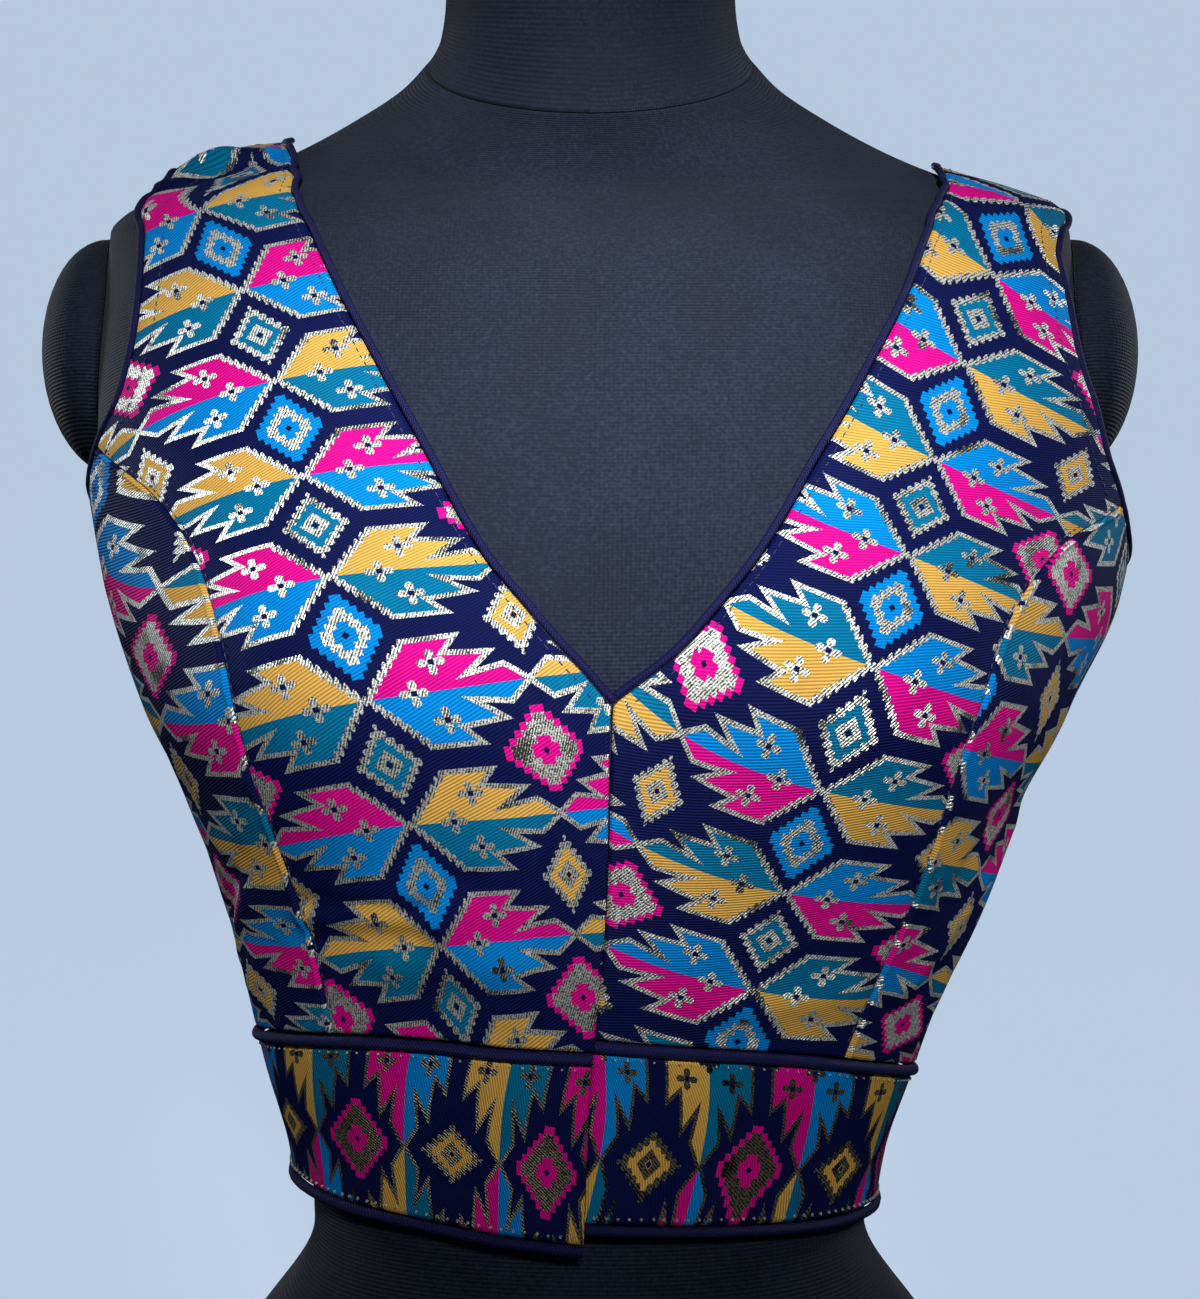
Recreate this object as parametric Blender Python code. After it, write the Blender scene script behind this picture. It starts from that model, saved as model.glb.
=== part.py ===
"""Sleeveless V-necked choli blouse with princess seams, on a limbless dress form.

Metres, +Z up. The front faces -Y and the wearer's left is +X.
The tables are in millimetres and degrees. A place on the body is an angle round it
(0 at the centre front, 90 at the wearer's left side, 180 at the centre back) and a
height. The blouse is cut on its own angles and heights, and hangs a little askew.
"""
import math
from collections import namedtuple

import bmesh
import bpy
import numpy as np

MM = 0.001
SEAM_GAP = 0.3
WALL = 1.6
REST_GAP = 0.4
LEAST_ROOM = 1.1
RIGHT = -1
LEFT = 1

# ---------------------------------------------------------------- driving tables
FigureRow = namedtuple("FigureRow", "height half_width front back square tilt")
FIGURE = [
    FigureRow(0, 141, 98, 108, 0.20, 0.0),
    FigureRow(40, 134, 94, 104, 0.20, 0.0),
    FigureRow(85, 114, 84, 91, 0.20, 0.0),
    FigureRow(125, 90, 77, 77, 0.22, 0.0),
    FigureRow(150, 92, 76, 76, 0.25, 0.0),
    FigureRow(180, 100, 80, 79, 0.28, 0.0),
    FigureRow(225, 116, 90, 87, 0.30, 0.0),
    FigureRow(262, 129, 98, 94, 0.32, 0.0),
    FigureRow(290, 144, 102, 99, 0.34, 0.0),
    FigureRow(335, 160, 96, 103, 0.42, 0.0),
    FigureRow(375, 167, 88, 99, 0.50, 0.0),
    FigureRow(415, 169, 76, 90, 0.52, 0.02),
    FigureRow(440, 169, 67, 80, 0.48, 0.10),
    FigureRow(458, 169, 60, 70, 0.38, 0.22),
    FigureRow(466, 164, 57.5, 66, 0.34, 0.30),
    FigureRow(474, 148, 55.5, 62, 0.30, 0.38),
    FigureRow(482, 125, 54, 59, 0.26, 0.47),
    FigureRow(491, 105, 53.2, 57, 0.22, 0.56),
    FigureRow(503, 84, 53, 56, 0.15, 0.66),
    FigureRow(514, 68, 53.2, 56, 0.05, 0.77),
    FigureRow(524, 59, 54, 56, 0.0, 0.84),
]
BACK_SQUARE_SHARE = 0.6
BACK_LEVELLING = 40.0

BUST_APART = 84.0
BUST_HEIGHT = 283.0
BUST_RISE = 26.0
BUST_SPREAD = 40.0
BUST_ABOVE = 48.0
BUST_BELOW = 36.0

EaseRow = namedtuple("EaseRow", "height centre_front bust side back_side centre_back")
EASE = [
    EaseRow(100, 9, 6, 2, 4, 8),
    EaseRow(125, 9, 6, 2, 4, 8),
    EaseRow(180, 8, 5, 6.5, 6, 8),
    EaseRow(225, 11, 4, 6, 6, 8),
    EaseRow(270, 10, 1.5, 6, 6, 6),
    EaseRow(295, 8, 1.2, 6.5, 6, 5),
    EaseRow(330, 3, 1.5, 11, 5, 4),
    EaseRow(365, 1.5, 1.2, 11, 4, 3),
    EaseRow(400, 1, 0.8, 3, 3, 2),
    EaseRow(440, 1.1, 1.1, 1.3, 1.3, 1.3),
    EaseRow(470, 1.1, 1.1, 1.3, 1.7, 1.1),
]
EASE_ANGLES = [0, 38, 90, 138, 180]

# A slip to one side also swings the blouse's sides out and in, below the shoulders.
SWING_SHARE = 0.8
SWING_TOP = 440.0
SWING_FADE = 60.0

# How the blouse hangs: slipped to the wearer's left and down on that side.
HangRow = namedtuple("HangRow", "height slip roll lap_sag")
HANG = [
    HangRow(125, -1.5, 0.060, 6.5),
    HangRow(180, 0.5, 0.060, 3.5),
    HangRow(240, 6, 0.060, 1.5),
    HangRow(290, 8.5, 0.060, 0),
    HangRow(365, 10, 0.055, 0),
    HangRow(440, 12.5, 0.040, 0),
    HangRow(480, 13, 0.033, 0),
]

# Edges of the panels on the blouse's own angles and heights, low end first.
EdgeRow = namedtuple("EdgeRow", "angle height")
NECK_FRONT = [
    EdgeRow(0.08, 285),
    EdgeRow(6.6, 296.5),
    EdgeRow(13.1, 315.5),
    EdgeRow(22, 359.4),
    EdgeRow(26.8, 385.4),
    EdgeRow(32, 420),
    EdgeRow(35.8, 446),
    EdgeRow(38.7, 462.5),
    EdgeRow(45, 472.8),
    EdgeRow(56.5, 480),
    EdgeRow(70, 483.8),
    EdgeRow(89.85, 486.4),
]
NECK_BACK = [
    EdgeRow(180, 352),
    EdgeRow(168, 357),
    EdgeRow(158, 376),
    EdgeRow(151, 408),
    EdgeRow(145, 440),
    EdgeRow(134, 466),
    EdgeRow(119, 479.5),
    EdgeRow(106, 484.2),
    EdgeRow(90.15, 486.4),
]
PRINCESS = [
    EdgeRow(43, 190),
    EdgeRow(44.3, 228),
    EdgeRow(45.2, 256),
    EdgeRow(43.3, 290),
    EdgeRow(45, 316),
    EdgeRow(51.2, 338),
    EdgeRow(66.2, 360.5),
]
ARMHOLE_FRONT = [
    EdgeRow(66.2, 360.5),
    EdgeRow(60, 372),
    EdgeRow(57.5, 387),
    EdgeRow(57.1, 405),
    EdgeRow(58.5, 427),
    EdgeRow(61.2, 449),
    EdgeRow(65.8, 461.5),
    EdgeRow(75, 469.2),
    EdgeRow(89.85, 473),
]
UNDERARM = [
    EdgeRow(66.2, 360.5),
    EdgeRow(72, 353.8),
    EdgeRow(78, 350.8),
    EdgeRow(86, 349.3),
]
ARMHOLE_BACK = [
    EdgeRow(86, 349.3),
    EdgeRow(98, 353),
    EdgeRow(110, 369),
    EdgeRow(116, 395),
    EdgeRow(117, 425),
    EdgeRow(112, 452),
    EdgeRow(103, 466),
    EdgeRow(90.15, 473),
]
SIDE_SEAM = 86.0
CENTRE_EDGE = 0.08
SHOULDER_CROWDING = 1.5
# Share of its first step by which the under front's neck piping stops short of the lap.
UNDER_LAP = 0.2

BandRow = namedtuple("BandRow", "angle seam hem")
WAISTBAND = [
    BandRow(0, 194.3, 139.7),
    BandRow(32, 191.5, 140),
    BandRow(55, 187, 139.5),
    BandRow(86, 181, 136),
    BandRow(135, 179, 135),
    BandRow(180, 179, 135),
]

PLACKET_WIDTH = 20.0
LAP_LIFT = WALL + 0.5
LAP_RAMP = 24.0

# Corded piping: radius at each edge, and the sides of its section.
NECK_CORD = 1.2
ARMHOLE_CORD = 1.2
WAIST_CORD = 1.7
HEM_CORD = 1.5
CORD_SIDES = 6

# Largest folds: a ridge (or, below zero, a trough) along a line on the blouse.
FoldRow = namedtuple("FoldRow", "angle_a height_a angle_b height_b rise width")
FOLDS = [
    FoldRow(-43, 224, -22, 229, 2.6, 9.0),
    FoldRow(-66, 204, -56, 228, 3.0, 9.0),
    FoldRow(62, 198, 76, 262, 2.0, 9.0),
    FoldRow(-112, 215, -92, 300, 4.0, 14.0),
    FoldRow(104, 214, 130, 228, 2.2, 8.0),
    FoldRow(-140, 208, -120, 222, 2.2, 8.0),
]

# Rows and columns of the panels' grids.
CENTRE_FRONT_ROWS = 9
NECK_ROWS = 17
PRINCESS_ROWS = 14
ARMHOLE_ROWS = 12
CENTRE_COLUMNS = 8
SIDE_COLUMNS = 5
BACK_ARMHOLE_ROWS = 15
BACK_LOW_ROWS = 12
BACK_NECK_ROWS = 17
BACK_COLUMNS = 8
PLACKET_ROWS = 16
PLACKET_COLUMNS = 2
BAND_ROWS = 3
BAND_STEP = 6.0

# The dress form: sections above the neck seam, and the two arm caps.
NeckRow = namedtuple("NeckRow", "rise half_width front back tilt")
NECK = [
    NeckRow(0.4, 58.6, 53.6, 55.6, 0.84),
    NeckRow(4, 56.4, 51.8, 53.4, 0.82),
    NeckRow(10, 54, 50, 51, 0.76),
    NeckRow(22, 52.4, 48.6, 49.4, 0.60),
    NeckRow(44, 51.8, 48, 49, 0.28),
    NeckRow(70, 51.6, 47.8, 48.8, 0.0),
    NeckRow(74.5, 49.8, 46, 47, 0.0),
    NeckRow(76, 46, 42.5, 43.5, 0.0),
]
FORM_SIDES = 40
HUB_DEPTH = 3.0
TORSO_STEP = 15.0
SHOULDER_START = 435.0
SHOULDER_STEP = 5.0

CAP_ANGLE = 90.0
CAP_HEIGHT = 416.0
CAP_HALF_HEIGHT = 42.0
CAP_HALF_TURN = 18.0
CAP_BULGE = 19.5
CAP_RIM = 1.6
CAP_SIDES = 20
CAP_RINGS = 4

JERSEY = ("jersey", (0.012, 0.013, 0.022, 1), 0.75, 0.0)
BROCADE = ("brocade", (0.02, 0.16, 0.32, 1), 0.45, 0.1)
BROCADE_TURNED = ("brocade_turned", (0.42, 0.02, 0.16, 1), 0.45, 0.1)
PLAIN_NAVY = ("plain_navy", (0.012, 0.013, 0.05, 1), 0.7, 0.0)


# ---------------------------------------------------------------- smooth tables
def column(rows, name):
    """One named column of a table, as an array."""
    return np.array([getattr(row, name) for row in rows], float)


def slopes(xs, ys):
    """Slopes that keep a smooth curve through the points from overshooting."""
    steps = np.diff(ys) / np.diff(xs)
    inner = steps[:-1] * steps[1:]
    safe = np.where(inner > 0, steps[:-1] + steps[1:], 1.0)
    middle = np.where(inner > 0, 2 * inner / safe, 0.0)
    return np.concatenate([steps[:1], middle, steps[-1:]])


def hermite(x, xs, ys, m):
    """Cubic curve through points, with a slope m at each."""
    k = np.clip(np.searchsorted(xs, x, side="right") - 1, 0, len(xs) - 2)
    span = xs[k + 1] - xs[k]
    t = (x - xs[k]) / span
    low = (2 * t**3 - 3 * t**2 + 1) * ys[k] + (t**3 - 2 * t**2 + t) * span * m[k]
    high = (3 * t**2 - 2 * t**3) * ys[k + 1] + (t**3 - t**2) * span * m[k + 1]
    return low + high


def smooth(x, xs, ys):
    """Smooth curve through a table's points, level beyond its ends."""
    return hermite(np.clip(np.asarray(x, float), xs[0], xs[-1]), xs, ys, slopes(xs, ys))


FIGURE_HEIGHTS = column(FIGURE, "height")
FIGURE_COLUMNS = {
    name: column(FIGURE, name)
    for name in ("half_width", "front", "back", "square", "tilt")
}
EASE_HEIGHTS = column(EASE, "height")
EASE_COLUMNS = [
    column(EASE, name)
    for name in ("centre_front", "bust", "side", "back_side", "centre_back")
]
HANG_HEIGHTS = column(HANG, "height")
HANG_COLUMNS = {name: column(HANG, name) for name in ("slip", "roll", "lap_sag")}


# ---------------------------------------------------------------- the figure
def figure_size(height, name):
    return smooth(height, FIGURE_HEIGHTS, FIGURE_COLUMNS[name])


def levelled(y):
    """Depth that a tilted section rises by: less and less of it towards the back."""
    return np.where(y < 0, y, BACK_LEVELLING * (1 - np.exp(-np.maximum(y, 0) / BACK_LEVELLING)))


def figure_point(angle, height):
    """Point on the bare figure, in millimetres."""
    turn = np.radians(np.asarray(angle, float))
    height = np.asarray(height, float)
    across, ahead = np.sin(turn), np.cos(turn)
    x = figure_size(height, "half_width") * across
    square = figure_size(height, "square") * across**2
    front = figure_size(height, "front") * (1 + square)
    back = figure_size(height, "back") * (1 + square * BACK_SQUARE_SHARE)
    y = -ahead * np.where(ahead > 0, front, back)
    spread = np.where(height > BUST_HEIGHT, BUST_ABOVE, BUST_BELOW)
    sideways = np.exp(-(((np.abs(x) - BUST_APART) / BUST_SPREAD) ** 2) / 2)
    upright = np.exp(-(((height - BUST_HEIGHT) / spread) ** 2) / 2)
    y = y - BUST_RISE * sideways * upright * np.clip(1 - across**4, 0, 1) * (ahead > 0)
    z = height + figure_size(height, "tilt") * levelled(y)
    return np.stack([x, y, z], axis=-1)


def figure_normal(angle, height):
    """Outward direction on the figure."""
    small = 0.4
    round_body = figure_point(angle + small, height) - figure_point(angle - small, height)
    up_body = figure_point(angle, height + small) - figure_point(angle, height - small)
    normal = np.cross(round_body, up_body)
    return normal / np.linalg.norm(normal, axis=-1, keepdims=True)


def off_figure(angle, height, distance):
    """Point at a distance outside the figure."""
    distance = np.asarray(distance, float)[..., None]
    return figure_point(angle, height) + figure_normal(angle, height) * distance


# ---------------------------------------------------------------- how the cloth hangs
def signed(angle):
    """Angle counted both ways from the centre front."""
    return (np.asarray(angle, float) + 180) % 360 - 180


def ease(angle, height):
    """Room between the figure and the cloth's inner face."""
    around = np.abs(signed(angle))
    rows = [smooth(height, EASE_HEIGHTS, values) for values in EASE_COLUMNS]
    room = rows[-1]
    for k in range(len(EASE_ANGLES) - 1):
        low, high = EASE_ANGLES[k], EASE_ANGLES[k + 1]
        t = np.clip((around - low) / (high - low), 0, 1)
        blend = t * t * (3 - 2 * t)
        room = np.where((around >= low) & (around <= high),
                        rows[k] * (1 - blend) + rows[k + 1] * blend, room)
    return room


def hang(angle, height, lap=0.0):
    """From the blouse's own angle and height to the figure's."""
    angle = np.asarray(angle, float)
    height = np.asarray(height, float)
    turn = np.radians(angle)
    half = figure_size(height, "half_width")
    slip = smooth(height, HANG_HEIGHTS, HANG_COLUMNS["slip"])
    roll = smooth(height, HANG_HEIGHTS, HANG_COLUMNS["roll"])
    sag = smooth(height, HANG_HEIGHTS, HANG_COLUMNS["lap_sag"]) * lap
    sag = sag * np.clip(1 - np.abs(angle) / SIDE_SEAM, 0, 1)
    placed_angle = angle + np.degrees(slip / half) * np.cos(turn)
    placed_height = height - roll * half * np.sin(turn) - sag
    return placed_angle, placed_height


def fold_rise(angle, height):
    """Height of the folds at a place of the blouse."""
    angle = signed(angle)
    total = np.zeros(np.broadcast(angle, height).shape)
    for fold in FOLDS:
        degree = figure_size(height, "half_width") * math.pi / 180
        ax, ay = (angle - fold.angle_a) * degree, height - fold.height_a
        bx, by = (fold.angle_b - fold.angle_a) * degree, fold.height_b - fold.height_a
        length = bx * bx + by * by
        along = np.clip((ax * bx + ay * by) / length, 0, 1)
        away = (ax - along * bx) ** 2 + (ay - along * by) ** 2
        total = total + fold.rise * np.exp(-away / fold.width**2)
    return total


def cloth_point(angle, height, outside=0.0, lap=0.0):
    """Point of the blouse: outside is the distance from its inner face."""
    placed_angle, placed_height = hang(angle, height, lap)
    slip = smooth(placed_height, HANG_HEIGHTS, HANG_COLUMNS["slip"])
    fade = np.clip((SWING_TOP - placed_height) / SWING_FADE, 0, 1)
    swing = SWING_SHARE * slip * fade * np.sin(np.radians(placed_angle))
    room = ease(placed_angle, placed_height) + swing + fold_rise(angle, height)
    room = np.maximum(room, LEAST_ROOM * (1 + fade))
    return off_figure(placed_angle, placed_height, room + outside)


def lap_lift(angle, height):
    """Lift of the over front where it crosses the placket strip."""
    degree = figure_size(height, "half_width") * math.pi / 180
    away = np.abs(angle) * degree - PLACKET_WIDTH - 2 * SEAM_GAP
    t = np.clip(1 - away / LAP_RAMP, 0, 1)
    return LAP_LIFT * t * t * (3 - 2 * t)


# ---------------------------------------------------------------- edges
def lengths_along(line):
    """Distance on the figure from a line's first place to each of its places."""
    points = figure_point(line[:, 0], line[:, 1])
    return np.concatenate([[0], np.cumsum(np.linalg.norm(np.diff(points, axis=0), axis=1))])


def edge(rows, count, crowding=1.0):
    """Rounded edge through a table's places; crowding over 1 gathers steps at its end."""
    places = np.array(rows, float)
    marks = lengths_along(places)
    fine = np.linspace(0, marks[-1], 400)
    curve = np.stack([hermite(fine, marks, values, np.gradient(values, marks))
                      for values in places.T], axis=1)
    lengths = lengths_along(curve)
    wanted = lengths[-1] * (1 - (1 - np.linspace(0, 1, count + 1)) ** crowding)
    return np.stack([np.interp(wanted, lengths, curve[:, k]) for k in (0, 1)], axis=1)


def straight(start, end, count):
    """Edge between two places in even steps."""
    t = np.linspace(0, 1, count + 1)[:, None]
    return np.array(start, float) * (1 - t) + np.array(end, float) * t


def join(*lines):
    """Edges end to end."""
    return np.concatenate([lines[0]] + [line[1:] for line in lines[1:]])


def drawn_in(line, partner):
    """Edge moved half a seam's gap towards the panel's other edge."""
    away = np.linalg.norm(figure_point(partner[:, 0], partner[:, 1])
                          - figure_point(line[:, 0], line[:, 1]), axis=1)
    return line + (partner - line) * (SEAM_GAP / 2 / away)[:, None]


def mirrored(line):
    """Line on the other side of the body, with angles that run on past 180."""
    return line * np.array([-1.0, 1.0]) + np.array([360.0, 0.0])


def for_side(places, side):
    """Places on one side; a grid's columns stay in rising order of angle."""
    if side == LEFT:
        return places
    flipped = places * np.array([-1.0, 1.0])
    return flipped[:, ::-1] if places.ndim == 3 else flipped


def patch(low, high, bottom, top):
    """Grid of places inside four edges: low and high in angle, bottom and top."""
    u = np.linspace(0, 1, len(bottom))[None, :, None]
    v = np.linspace(0, 1, len(low))[:, None, None]
    across = low[:, None] * (1 - u) + high[:, None] * u
    upward = bottom[None] * (1 - v) + top[None] * v
    corners = ((bottom[0] * (1 - u) + bottom[-1] * u) * (1 - v)
               + (top[0] * (1 - u) + top[-1] * u) * v)
    return across + upward - corners


def band_height(name, angle):
    """Height of the waist seam or the hem at an angle."""
    return smooth(np.abs(signed(angle)), column(WAISTBAND, "angle"), column(WAISTBAND, name))


def panel_foot(angle):
    """Height of a panel's lower edge, over the waist seam's piping."""
    return band_height("seam", angle) + WAIST_CORD + SEAM_GAP


def foot_line(start, end, count):
    angles = np.linspace(start, end, count + 1)
    return np.stack([angles, panel_foot(angles)], axis=1)


# ---------------------------------------------------------------- meshes
def material(look):
    name, colour, roughness, metallic = look
    made = bpy.data.materials.get(name) or bpy.data.materials.new(name)
    made.use_nodes = True
    shader = made.node_tree.nodes["Principled BSDF"]
    shader.inputs["Base Color"].default_value = colour
    shader.inputs["Roughness"].default_value = roughness
    shader.inputs["Metallic"].default_value = metallic
    return made


def add_object(name, points, faces, look):
    """Mesh object from points in millimetres; points that coincide are joined."""
    mesh = bpy.data.meshes.new(name)
    mesh.from_pydata([tuple(p) for p in np.asarray(points) * MM], [], faces)
    work = bmesh.new()
    work.from_mesh(mesh)
    bmesh.ops.remove_doubles(work, verts=work.verts, dist=0.00001)
    work.to_mesh(mesh)
    work.free()
    mesh.materials.append(material(look))
    mesh.shade_smooth()
    mesh.set_sharp_from_angle(angle=math.radians(40))
    made = bpy.data.objects.new(name, mesh)
    bpy.context.scene.collection.objects.link(made)
    return made


def wall_faces(rows, columns, joined_low=0, joined_high=0):
    """Closed wall from an outer and an inner grid, with rims.

    joined_low and joined_high leave the rim off that many rows of the low or high edge,
    where another grid of the same piece carries on.
    """
    step = columns + 1
    inner = (rows + 1) * step
    faces = []
    for r in range(rows):
        for c in range(columns):
            a = r * step + c
            faces.append((a, a + 1, a + 1 + step, a + step))
            faces.append((inner + a, inner + a + step, inner + a + 1 + step, inner + a + 1))
    rim = [(c, c + 1) for c in range(columns)]
    rim += [(rows * step + c + 1, rows * step + c) for c in range(columns)]
    rim += [((r + 1) * step, r * step) for r in range(joined_low, rows)]
    rim += [(r * step + columns, (r + 1) * step + columns) for r in range(joined_high, rows)]
    faces += [(b, a, inner + a, inner + b) for a, b in rim]
    return faces


def wall_points(grid, lap=0.0, lift=None):
    """Outer and inner points of a wall of cloth on a grid of places."""
    angle, height = grid[..., 0], grid[..., 1]
    raised = lift(angle, height) if lift else 0.0
    outer = cloth_point(angle, height, raised + WALL, lap)
    inner = cloth_point(angle, height, raised, lap)
    return np.concatenate([outer.reshape(-1, 3), inner.reshape(-1, 3)])


def add_wall(name, grid, look, lap=0.0, lift=None):
    faces = wall_faces(grid.shape[0] - 1, grid.shape[1] - 1)
    return add_object(name, wall_points(grid, lap, lift), faces, look)


def ring_faces(rings, sides, closed=False):
    """Skin over rings of points, left open at both ends unless it closes on itself."""
    faces = []
    for r in range(rings if closed else rings - 1):
        above = (r + 1) % rings
        for c in range(sides):
            d = (c + 1) % sides
            faces.append((r * sides + c, r * sides + d, above * sides + d, above * sides + c))
    return faces


def flat_ends(rings, sides):
    """Flat faces over the first and the last ring."""
    last = (rings - 1) * sides
    return [tuple(reversed(range(sides))), tuple(range(last, last + sides))]


def fan(hub, first, sides, turn):
    """Triangles from a hub to a ring; turn is 1 to face up from it, -1 to face down."""
    ring = [first + c for c in range(sides)]
    pairs = zip(ring, ring[1:] + ring[:1])
    return [(hub, a, b)[::turn] for a, b in pairs]


def add_piping(name, line, radius, aside, lap=0.0, lift=None, closed=False):
    """Round cord along a panel's edge, a seam's gap off it.

    aside is 1 where the cord lies to the right of the line, seen from outside, or -1.
    """
    angle, height = line[:, 0], line[:, 1]
    raised = lift(angle, height) if lift else 0.0
    inner = cloth_point(angle, height, raised, lap)
    out = cloth_point(angle, height, raised + 1.0, lap) - inner
    if closed:
        ahead = np.roll(inner, -1, axis=0) - np.roll(inner, 1, axis=0)
    else:
        ahead = np.gradient(inner, axis=0)
    ahead /= np.linalg.norm(ahead, axis=1, keepdims=True)
    side = np.cross(ahead, out) * aside
    side /= np.linalg.norm(side, axis=1, keepdims=True)
    path = inner + out * radius + side * (radius + SEAM_GAP)
    turns = (np.arange(CORD_SIDES) + 0.5) * 2 * math.pi / CORD_SIDES
    ring = (np.cos(turns)[None, :, None] * out[:, None]
            + np.sin(turns)[None, :, None] * np.cross(ahead, out)[:, None])
    points = (path[:, None] + radius * ring).reshape(-1, 3)
    faces = ring_faces(len(path), CORD_SIDES, closed)
    if not closed:
        faces += flat_ends(len(path), CORD_SIDES)
    return add_object(name, points, faces, PLAIN_NAVY)


# ---------------------------------------------------------------- the blouse
def side_name(side):
    return "right" if side == RIGHT else "left"


def over(side):
    """The right front laps over the left one: its lap and its lift."""
    return (1.0, lap_lift) if side == RIGHT else (0.0, None)


def front_edges():
    """Centre edge with the neck, and princess edge with the armhole, of a centre panel."""
    neck = edge(NECK_FRONT, NECK_ROWS, SHOULDER_CROWDING)
    inner = join(straight([CENTRE_EDGE, panel_foot(0)], neck[0], CENTRE_FRONT_ROWS), neck)
    princess = edge(PRINCESS, PRINCESS_ROWS)
    princess[0, 1] = panel_foot(princess[0, 0])
    outer = join(princess, edge(ARMHOLE_FRONT, ARMHOLE_ROWS, SHOULDER_CROWDING))
    return inner, outer


def build_front_centre(side):
    """Strap and front, from the centre front to the princess seam and the armhole."""
    inner, outer = front_edges()
    seam = slice(0, PRINCESS_ROWS + 1)
    outer[seam] = drawn_in(outer[seam], inner[seam])
    bottom = foot_line(inner[0, 0], outer[0, 0], CENTRE_COLUMNS)
    top = straight(inner[-1], outer[-1], CENTRE_COLUMNS)
    grid = for_side(patch(inner, outer, bottom, top), side)
    add_wall("front_center_" + side_name(side), grid, BROCADE, *over(side))


def build_front_side(side):
    """Front from the princess seam to the side seam."""
    princess = front_edges()[1][:PRINCESS_ROWS + 1]
    top = edge(UNDERARM, SIDE_COLUMNS)
    seam = straight([SIDE_SEAM, panel_foot(SIDE_SEAM)], top[-1], PRINCESS_ROWS)
    inner, outer = drawn_in(princess, seam), drawn_in(seam, princess)
    bottom = foot_line(inner[0, 0], outer[0, 0], SIDE_COLUMNS)
    top[0], top[-1] = inner[-1], outer[-1]
    grid = for_side(patch(inner, outer, bottom, top), side)
    add_wall("front_side_" + side_name(side), grid, BROCADE, over(side)[0])


def back_edges():
    """Side seam with the armhole, and centre back with the neck, of half of the back."""
    armhole = edge(ARMHOLE_BACK, BACK_ARMHOLE_ROWS, SHOULDER_CROWDING)
    seam = straight([SIDE_SEAM, panel_foot(SIDE_SEAM)], armhole[0], PRINCESS_ROWS)
    neck = edge(NECK_BACK, BACK_NECK_ROWS, SHOULDER_CROWDING)
    centre = straight([180, panel_foot(180)], neck[0], BACK_LOW_ROWS)
    return join(seam, armhole), join(centre, neck)


def build_back():
    """The back in one piece: two mirrored halves joined at the centre back."""
    outer, inner = back_edges()
    seam = slice(0, PRINCESS_ROWS + 1)
    outer[seam] = drawn_in(outer[seam], inner[seam])
    bottom = foot_line(outer[0, 0], inner[0, 0], BACK_COLUMNS)
    top = straight(outer[-1], inner[-1], BACK_COLUMNS)
    left = patch(outer, inner, bottom, top)
    right = mirrored(left)[:, ::-1]
    rows = len(outer) - 1
    left_points, right_points = wall_points(left), wall_points(right)
    faces = wall_faces(rows, BACK_COLUMNS, joined_high=BACK_LOW_ROWS)
    faces += [tuple(i + len(left_points) for i in face)
              for face in wall_faces(rows, BACK_COLUMNS, joined_low=BACK_LOW_ROWS)]
    add_object("back", np.concatenate([left_points, right_points]), faces, BROCADE)


def build_placket():
    """Strip on the left front's edge, under the right front, for the eyes."""
    low = band_height("hem", 0) + 2 * HEM_CORD + SEAM_GAP
    heights = np.linspace(low, NECK_FRONT[0].height - 3, PLACKET_ROWS + 1)
    width = np.degrees(PLACKET_WIDTH / figure_size(heights, "half_width"))
    share = np.linspace(1, 0, PLACKET_COLUMNS + 1)
    angles = -CENTRE_EDGE - width[:, None] * share[None, :]
    grid = np.stack([angles, np.broadcast_to(heights[:, None], angles.shape)], axis=-1)
    add_wall("eye_placket_left", grid, PLAIN_NAVY)


BAND_PARTS = [
    ("front_right", -SIDE_SEAM + CENTRE_EDGE, -CENTRE_EDGE, RIGHT),
    ("front_left", CENTRE_EDGE, SIDE_SEAM - CENTRE_EDGE, LEFT),
    ("back", SIDE_SEAM + CENTRE_EDGE, 360 - SIDE_SEAM - CENTRE_EDGE, 0),
]


def build_waistband():
    """Waistband in three lengths, with piping on the waist seam and the hem."""
    for part, start, end, side in BAND_PARTS:
        lap, lift = over(side)
        angles = np.linspace(start, end, round((end - start) / BAND_STEP) + 1)
        low = band_height("hem", angles) + 2 * HEM_CORD + SEAM_GAP
        high = band_height("seam", angles) - WAIST_CORD - SEAM_GAP
        grid = np.stack([straight([a, b], [a, c], BAND_ROWS)
                         for a, b, c in zip(angles, low, high)], axis=1)
        add_wall("waistband_" + part, grid, BROCADE_TURNED, lap, lift)
        add_piping("waist_piping_" + part, grid[-1], WAIST_CORD, -1, lap, lift)
        add_piping("hem_piping_" + part, grid[0], HEM_CORD, 1, lap, lift)


def build_neck_piping():
    for side in (RIGHT, LEFT):
        line = for_side(front_edges()[0][CENTRE_FRONT_ROWS:], side)
        if side == LEFT:
            line[0] += (line[1] - line[0]) * UNDER_LAP
        add_piping("neck_piping_front_" + side_name(side), line, NECK_CORD, -side, *over(side))
    half = back_edges()[1][BACK_LOW_ROWS:]
    add_piping("neck_piping_back", join(half[::-1], mirrored(half)), NECK_CORD, -1)


def build_armhole_piping():
    for side in (RIGHT, LEFT):
        under = edge(UNDERARM, SIDE_COLUMNS)[::-1]
        front = front_edges()[1][PRINCESS_ROWS:]
        back = back_edges()[0][PRINCESS_ROWS:][::-1]
        loop = for_side(join(under, front, back)[:-1], side)
        add_piping("armhole_piping_" + side_name(side), loop, ARMHOLE_CORD, side, closed=True)


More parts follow.
